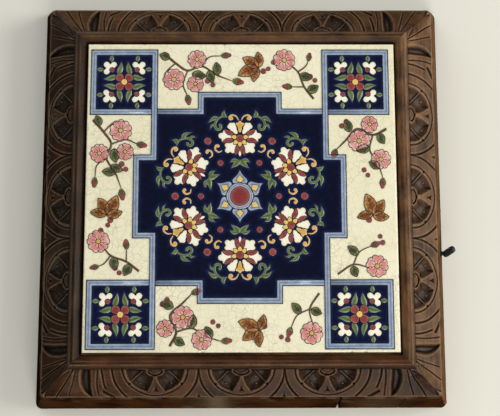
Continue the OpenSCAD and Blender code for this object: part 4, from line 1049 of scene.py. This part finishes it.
longVine = {
    # stems (path, half width); flowers and buds (x, y, turn, size); leaves (x, y, turn, length, width); berries
    "stems": [([(-50, 95), (-42, 88), (-34, 83), (-25, 86), (-15, 80), (-5, 76)], 1.0),
              ([(-34, 83), (-37, 74), (-34, 66)], 0.7), ([(-25, 86), (-20, 92), (-12, 93)], 0.6),
              ([(48, 64), (42, 72), (38, 82), (31, 88)], 0.9), ([(42, 72), (34, 72)], 0.6),
              ([(38, 82), (43, 86), (45, 90)], 0.6), ([(-42, 88), (-48, 82), (-49, 74)], 0.6)],
    "flowers": [(-43, 77, 20, 1.12), (-28, 90.5, 70, 0.95), (29, 90, 35, 1.12), (-29, 74, 50, 0.85)],
    "buds": [(-34, 66, -80, 1.15), (-4, 76, -10, 1.25), (-11.5, 93, 5, 1.1), (33.5, 72, 175, 1.1),
             (45, 90, 80, 0.95)],
    "leaves": [(-46, 91, 160, 7.0, 2.6), (-31, 81, -10, 9.0, 3.0), (-15, 80, 95, 8.5, 2.7),
               (44, 69, 30, 8.0, 2.8), (39, 80, -10, 8.5, 2.8), (-20, 83, -70, 8.5, 2.6)],
    "brownLeaves": [(12, 85, 205, 14.0, 3.9), (12, 85, 150, 12.0, 3.5), (12, 85, 95, 10.5, 3.0),
                    (12, 85, 255, 10.0, 2.8)],
    "berries": [(-21, 76, 1.6), (-17.6, 73.4, 1.4), (15.4, 82.6, 1.7), (46, 79, 1.5), (49, 76.4, 1.35),
                (18.6, 84.2, 1.3), (22, 88.6, 1.5)],
}
shortVine = {
    "stems": [([(44, 95), (40, 86), (44, 76), (36, 68), (30, 62)], 1.0), ([(40, 86), (30, 84), (22, 89)], 0.8),
              ([(-50, 62), (-44, 72), (-46, 82)], 0.8), ([(22, 89), (12, 92)], 0.6),
              ([(-44, 72), (-36, 76), (-32, 84)], 0.6)],
    "flowers": [(36, 77, 10, 1.12), (24, 91, 60, 1.0), (-45, 87, 80, 1.1), (47, 84, 40, 0.85)],
    "buds": [(30, 62, 200, 1.15), (11, 92, 185, 1.15), (-32, 84, 70, 1.1)],
    "leaves": [(41, 90, 150, 7.5, 2.6), (31, 84, -100, 9.0, 2.8), (42, 71, -20, 8.5, 2.8),
               (-45, 72, 160, 7.0, 2.6), (-38, 75, -50, 8.5, 2.6), (18, 90, -60, 8.0, 2.5)],
    "brownLeaves": [(-12, 85, -20, 14.0, 3.9), (-12, 85, 35, 12.0, 3.5), (-12, 85, 95, 10.5, 3.0),
                    (-12, 85, 255, 10.0, 2.8)],
    "berries": [(46, 66, 1.5), (49, 69, 1.35), (-15.4, 82.6, 1.7), (-30, 91, 1.5), (17, 80, 1.4),
                (13.6, 82.4, 1.3), (-26, 89.4, 1.3)],
}
for angle, flip, layout in ((90, 1, longVine), (0, -1, shortVine), (270, 1, shortVine), (180, -1, longVine)):
    vine(middle, angle, flip, layout)

# the navy fields, whose glaze runs thin beside every motif and border


def fieldPlate(rectangles, step, marks):
    # the union of rectangles (x, y, x, y) cut into cells; the halo falls off with the distance to marks
    cuts = []
    for axis in (0, 1):
        low, high = rectangles[:, axis].min(), rectangles[:, axis + 2].max()
        even = np.linspace(low, high, int((high - low) / step) + 1)
        cuts.append(np.unique(np.round(np.concatenate([even, rectangles[:, [axis, axis + 2]].ravel()]), 4)))
    x, y = np.meshgrid(*cuts, indexing="ij")
    cx, cy = (x[:-1, :-1] + x[1:, 1:]) / 2, (y[:-1, :-1] + y[1:, 1:]) / 2
    inside = np.zeros(cx.shape, bool)
    for r in rectangles:
        inside |= (cx > r[0]) & (cx < r[2]) & (cy > r[1]) & (cy < r[3])
    used, quads = np.unique(gridQuads(*x.shape).reshape(*cx.shape, 4)[inside], return_inverse=True)
    quads = quads.reshape(-1, 4)
    flat = np.stack([x.ravel()[used], y.ravel()[used]], -1)
    n = len(flat)
    nearest = np.full(n, 99.0)
    for block in np.array_split(np.arange(n), max(1, n // 2500)):
        gap = flat[block][:, None] - marks[None]
        nearest[block] = np.sqrt((gap ** 2).sum(-1).min(1))
    halo = np.exp(-(nearest / 1.15) ** 1.4) * 0.6
    top = np.concatenate([flat, np.full((n, 1), tile["field"])], 1)
    top[:, 2] += 0.10 * np.exp(-nearest / 1.2) + 0.02 * waves(flat[:, 0], flat[:, 1], 13, 77)
    under = np.concatenate([flat, np.full((n, 1), tile["fieldUnder"])], 1)
    # open edges are those that one cell alone uses; the skirt hangs from them
    pairs = np.concatenate([quads[:, [k, (k + 1) % 4]] for k in range(4)])
    keys = np.sort(pairs, 1)
    _, first, counts = np.unique(keys[:, 0] * n + keys[:, 1], return_index=True, return_counts=True)
    border = pairs[first[counts == 1]]
    skirt = np.stack([border[:, 1], border[:, 0], border[:, 0] + n, border[:, 1] + n], -1)
    addPart("navy", np.concatenate([top, under]), np.concatenate([quads, quads[:, ::-1] + n, skirt]), (), (),
            np.concatenate([halo, halo]))


borderEdges = []
for path in borders:
    for p0, p1 in zip(path[:-1], path[1:]):
        n = int(np.abs(p1 - p0).max() / 0.8) + 1
        line = p0 + (p1 - p0) * np.linspace(0, 1, n)[:, None]
        aside = np.array([-(p1 - p0)[1], (p1 - p0)[0]]) / np.abs(p1 - p0).max() * half
        borderEdges += [line + aside, line - aside]
motifs = [np.concatenate(parts[key]["points"])[::2, :2]
          for key in ("white", "maroon", "ochre", "green", "pale", "red")]
marks = np.concatenate(motifs + [np.concatenate(borderEdges) + middle])


def marksNear(place, reach):
    # every other mark inside a square about a place
    return marks[np.abs(marks - place).max(1) < reach][::2]


tuck = 0.2      # how far the navy glaze runs under the borders
a, b, c = near - half + tuck, arm - half + tuck, reach - half + tuck
shift = np.concatenate([middle, middle])
fieldPlate(np.array([(-a, -a, a, a), (-c, -b, c, b), (-b, -c, b, c)]) + shift, 0.7, marksNear(middle, c + 3))
squareHalf = (far - near) / 2 - half + tuck
for square in squares:
    place = middle + square * corner
    fieldPlate(np.array([[*(place - squareHalf), *(place + squareHalf)]]), 0.65, marksNear(place, 21.5))

# the slab itself, a little uneven and chipped along its edges


def tileSlab():
    # a grid with close lines at the rounded edge, which drops by a quarter circle and chips by a seeded field
    edge = tile["half"] - np.array([0, 0.15, 0.5, 1.1])
    line = np.concatenate([-edge, np.linspace(-98, 98, 131), edge[::-1]])
    x, y = np.meshgrid(line, line, indexing="ij")
    out = np.maximum(np.abs(x), np.abs(y))
    drop = 0.85 * (1 - np.sqrt(1 - np.clip((out - 99.15) / 0.86, 0, 1) ** 2))
    chips = np.clip(waves(x, y, 5, 41) * 1.2 - 0.9, 0, 1) * smoothStep(out, 98.4, 99.8)
    z = tile["ground"] - drop - 0.7 * chips + 0.04 * waves(x, y, 46, 42) * smoothStep(99 - out, 0, 4)
    n = len(line)
    top = np.stack([x, y, z], -1).reshape(-1, 3)
    k = np.arange(n)
    ring = np.concatenate([k[:-1] * n, (n - 1) * n + k[:-1], k[:0:-1] * n + n - 1, k[:0:-1]])
    low = top[ring].copy()
    low[:, 2] = tile["under"]
    ids = len(top) + np.arange(len(ring))
    skirt = np.stack([ring, ids, np.roll(ids, -1), np.roll(ring, -1)], -1)
    rim = np.concatenate([np.clip(chips * 1.2 + 0.15 * (out > 99.7), 0, 0.8).ravel(), np.full(len(ring), 0.5)])
    makeMesh("tileSlab", np.concatenate([top, low]), np.concatenate([gridQuads(n, n), skirt]), [ids[::-1]],
             {"rim": rim}, creamGlaze, "case", ("tile",))


creamGlaze = creamMaterial()
tileSlab()
for key, part in parts.items():
    points, quads, rim = (np.concatenate(part[what]) for what in ("points", "quads", "rim"))
    makeMesh("tileGlaze_" + key, points, quads, part["polygons"], {"rim": rim}, glazes[key],
             "case")
print("tile done")

pad = {
    "middle": (138.6, -34.25), "turn": 34.0,     # where it stands and how it is turned, in degrees
    "length": 9.3, "width": 4.9, "low": 16.85, "high": 19.15,
}


def padMaterial():
    # hard black plastic, handled dull in patches
    mat, tree, shader = newMaterial("leverPadBlack")
    cloud = noiseNode(tree, objectPlace(tree), 420.0, 4.0)
    finish(tree, shader, mixColor(tree, cloud, srgb(4, 4, 5), srgb(18, 17, 18)),
           rangeNode(tree, cloud, 0.3, 0.7, 0.20, 0.42), cloud, 0.2, 0.0002, 0.3)
    return mat


def leverPad():
    # a cushion: a rounded rectangle (superellipse) whose rings shrink towards a flat top and underside
    q = pad
    turn = np.linspace(0, 2 * np.pi, 48, endpoint=False)
    rise = np.linspace(-1, 1, 17)
    reach = (1 - np.abs(rise) ** 3.2 * 0.55) ** 0.8
    ring = np.stack([np.sign(np.cos(turn)) * np.abs(np.cos(turn)) ** 0.7 * q["length"] / 2,
                     np.sign(np.sin(turn)) * np.abs(np.sin(turn)) ** 0.62 * q["width"] / 2], -1)
    hollow = 1 - 0.05 * np.cos(ring[:, 0] / q["length"] * 2 * np.pi)
    flat = ring[None] * reach[:, None, None] * np.stack([np.ones_like(hollow), hollow], -1)[None]
    a = np.radians(q["turn"])
    x = q["middle"][0] + flat[..., 0] * np.cos(a) - flat[..., 1] * np.sin(a)
    y = q["middle"][1] + flat[..., 0] * np.sin(a) + flat[..., 1] * np.cos(a)
    z = (q["low"] + q["high"]) / 2 + rise[:, None] * (q["high"] - q["low"]) / 2 + 0 * x
    points = np.stack([x, y, z], -1).reshape(-1, 3)
    k = np.arange(48)
    makeMesh("leverPad", points, gridQuads(17, 48, closeCols=True)[:, ::-1], [k[::-1], k + 16 * 48],
             None, padBlack, "lever", ("lever_pad",))


padBlack = padMaterial()
leverPad()
print("lever pad done")


def buildMetalGroup():
    # fine brushing along X, a cloudy dulling and small spots of tarnish or rust
    tree, given, gives = newGroup(
        "HandledMetal",
        [("Place", "vector", (0, 0, 0)), ("Clean", "color", (1, 1, 1, 1)),
         ("Dull", "color", (0.2, 0.2, 0.2, 1)), ("Spots", "color", (0.1, 0.05, 0.02, 1)),
         ("Spotting", "value", 0.3), ("Polish", "value", 0.3)],
        [("Color", "color"), ("Roughness", "value"), ("Height", "value")])
    lines = noiseNode(tree, stretch(tree, given["Place"], (120.0, 2400.0, 2400.0)), 1.0, 2.0)
    cloud = noiseNode(tree, given["Place"], 110.0, 5.0, 0.6)
    spots = rangeNode(tree, noiseNode(tree, given["Place"], 520.0, 4.0, 0.65), 0.60, 0.70)
    color = mixColor(tree, rangeNode(tree, cloud, 0.35, 0.68), given["Clean"], given["Dull"])
    color = mixColor(tree, times(tree, spots, given["Spotting"]), color, given["Spots"])
    rough = plus(tree, given["Polish"], rangeNode(tree, cloud, 0.3, 0.75, 0.0, 0.22))
    rough = plus(tree, rough, times(tree, lines, 0.08), clamp=True)
    give(tree, gives, Color=color, Roughness=rough, Height=plus(tree, lines, times(tree, spots, 0.5)))
    return tree


metalGroup = buildMetalGroup()


def metalMaterial(name, clean, dull, spots, spotting, polish):
    # bare metal, whose colour and roughness come from the group
    mat, tree, shader = newMaterial(name)
    out = useGroup(tree, metalGroup, {"Place": objectPlace(tree), "Clean": srgb(*clean), "Dull": srgb(*dull),
                                      "Spots": srgb(*spots), "Spotting": spotting, "Polish": polish})
    shader.inputs["Metallic"].default_value = 1.0
    finish(tree, shader, out["Color"], out["Roughness"], out["Height"], 0.12, 0.0001)
    return mat


def plainWoodMaterial(name, dark, light, turn):
    # unfinished wood inside: the same grain, placed by Object coordinates in millimetres
    mat, tree, shader = newMaterial(name)
    place = stretch(tree, objectPlace(tree), (1000.0, 1000.0, 1000.0), turn)
    out = useGroup(tree, woodGroup, {"Place": place, "Dark": srgb(*dark), "Light": srgb(*light)})
    finish(tree, shader, out["Color"], out["Roughness"], out["Height"], 0.3, 0.0004, 0.25)
    return mat


woods = {
    # darkest, lightest, turn of the grain
    "board_wood": ("boardWood", (116, 84, 52), (186, 150, 104), 0.0),
    "block_wood": ("blockWood", (92, 62, 38), (160, 122, 82), 1.57),
    "plinth_wood": ("plainPlinthWood", (28, 15, 8), (74, 49, 30), 0.0),
    "carved_wood": ("plainCarvedWood", (30, 16, 8), (88, 59, 37), 0.0),
}
metals = {
    # clean, dulled, spots, how much of the spots shows, lowest roughness
    "brass_screws": ("screwBrass", (214, 176, 96), (150, 112, 56), (74, 52, 26), 0.6, 0.30),
    "steel_screws": ("screwSteel", (176, 178, 182), (118, 118, 120), (92, 60, 40), 0.5, 0.28),
    "movement_brass": ("movementBrass", (226, 190, 112), (182, 144, 76), (104, 72, 34), 0.4, 0.24),
    "movement_steel": ("movementSteel", (196, 198, 202), (146, 148, 152), (96, 72, 54), 0.25, 0.22),
    "blued_steel": ("bluedSteel", (58, 74, 122), (38, 46, 78), (26, 24, 36), 0.3, 0.22),
    "bedplate_gilt": ("bedplateGilt", (200, 164, 92), (150, 116, 60), (90, 64, 32), 0.5, 0.38),
    "spring_steel": ("springSteel", (120, 124, 134), (80, 84, 94), (70, 50, 36), 0.35, 0.30),
    "black_steel": ("blackSteel", (44, 44, 46), (26, 26, 28), (66, 44, 30), 0.35, 0.36),
}
finishes = {"black_plastic": padBlack, "glazed_tile": creamGlaze}
finishes.update({slot: plainWoodMaterial(*values) for slot, values in woods.items()})
finishes.update({slot: metalMaterial(*values) for slot, values in metals.items()})
for entry in frame["record"]["subparts"]:
    for place in nodes[entry["node"]].material_slots:
        place.material = finishes[entry["material_slot"]]
print("finishes done")

floorMat, floorTree, floorShader = newMaterial("floorPaper")
floorNoise = noiseNode(floorTree, addNode(floorTree, "ShaderNodeTexCoord").outputs["Object"], 3.0, 2.0)
floorColor = mixColor(floorTree, floorNoise, srgb(218, 217, 206), srgb(222, 220, 209))
floorTree.links.new(floorColor, floorShader.inputs["Base Color"])
floorShader.inputs["Roughness"].default_value = 0.9
floorShader.inputs["Specular IOR Level"].default_value = 0.1
bpy.ops.mesh.primitive_plane_add(size=6.0, location=(0, 0, 0))
floor = bpy.context.object
floor.name = "floor"
floor.data.materials.append(floorMat)

world = bpy.data.worlds.new("studio")
bpy.context.scene.world = world
world.use_nodes = True
sky = world.node_tree.nodes["Background"].inputs
sky["Color"].default_value = (1.0, 0.99, 0.97, 1)
sky["Strength"].default_value = 0.32

lamps = {
    # place in metres, watts, size in metres, tint
    "key": ((1.05, 0.12, 0.80), 10.1, 0.6, (1.0, 0.98, 0.95)),
    "fill": ((-0.55, 0.80, 0.95), 4.6, 0.9, (0.97, 0.98, 1.0)),
    "front": ((0.25, -1.15, 0.90), 9.8, 0.7, (1.0, 0.99, 0.97)),
}
for lampName, (place, power, size, tint) in lamps.items():
    lampData = bpy.data.lights.new(lampName, "AREA")
    lampData.energy = power
    lampData.size = size
    lampData.color = tint
    lamp = bpy.data.objects.new(lampName, lampData)
    lamp.location = place
    lamp.rotation_euler = (Vector((0, 0, 0.03)) - Vector(place)).to_track_quat("-Z", "Y").to_euler()
    bpy.context.scene.collection.objects.link(lamp)

# place in millimetres, angles in degrees
camera = {"place": (1.24, -88.17, 616.58), "tilt": 7.94, "lean": -0.43, "roll": -0.06, "lens": 64.8}
camData = bpy.data.cameras.new("camera")
camData.lens = camera["lens"]
camData.sensor_width = 36.0
camObject = bpy.data.objects.new("camera", camData)
camObject.matrix_world = Matrix.Translation(Vector(camera["place"]) * mm)
for axis, angle in (("X", "tilt"), ("Y", "lean"), ("Z", "roll")):
    camObject.matrix_world = camObject.matrix_world @ Matrix.Rotation(np.radians(camera[angle]), 4, axis)
bpy.context.scene.collection.objects.link(camObject)
bpy.context.scene.camera = camObject
bpy.context.scene.view_settings.view_transform = "Standard"
print("studio done")
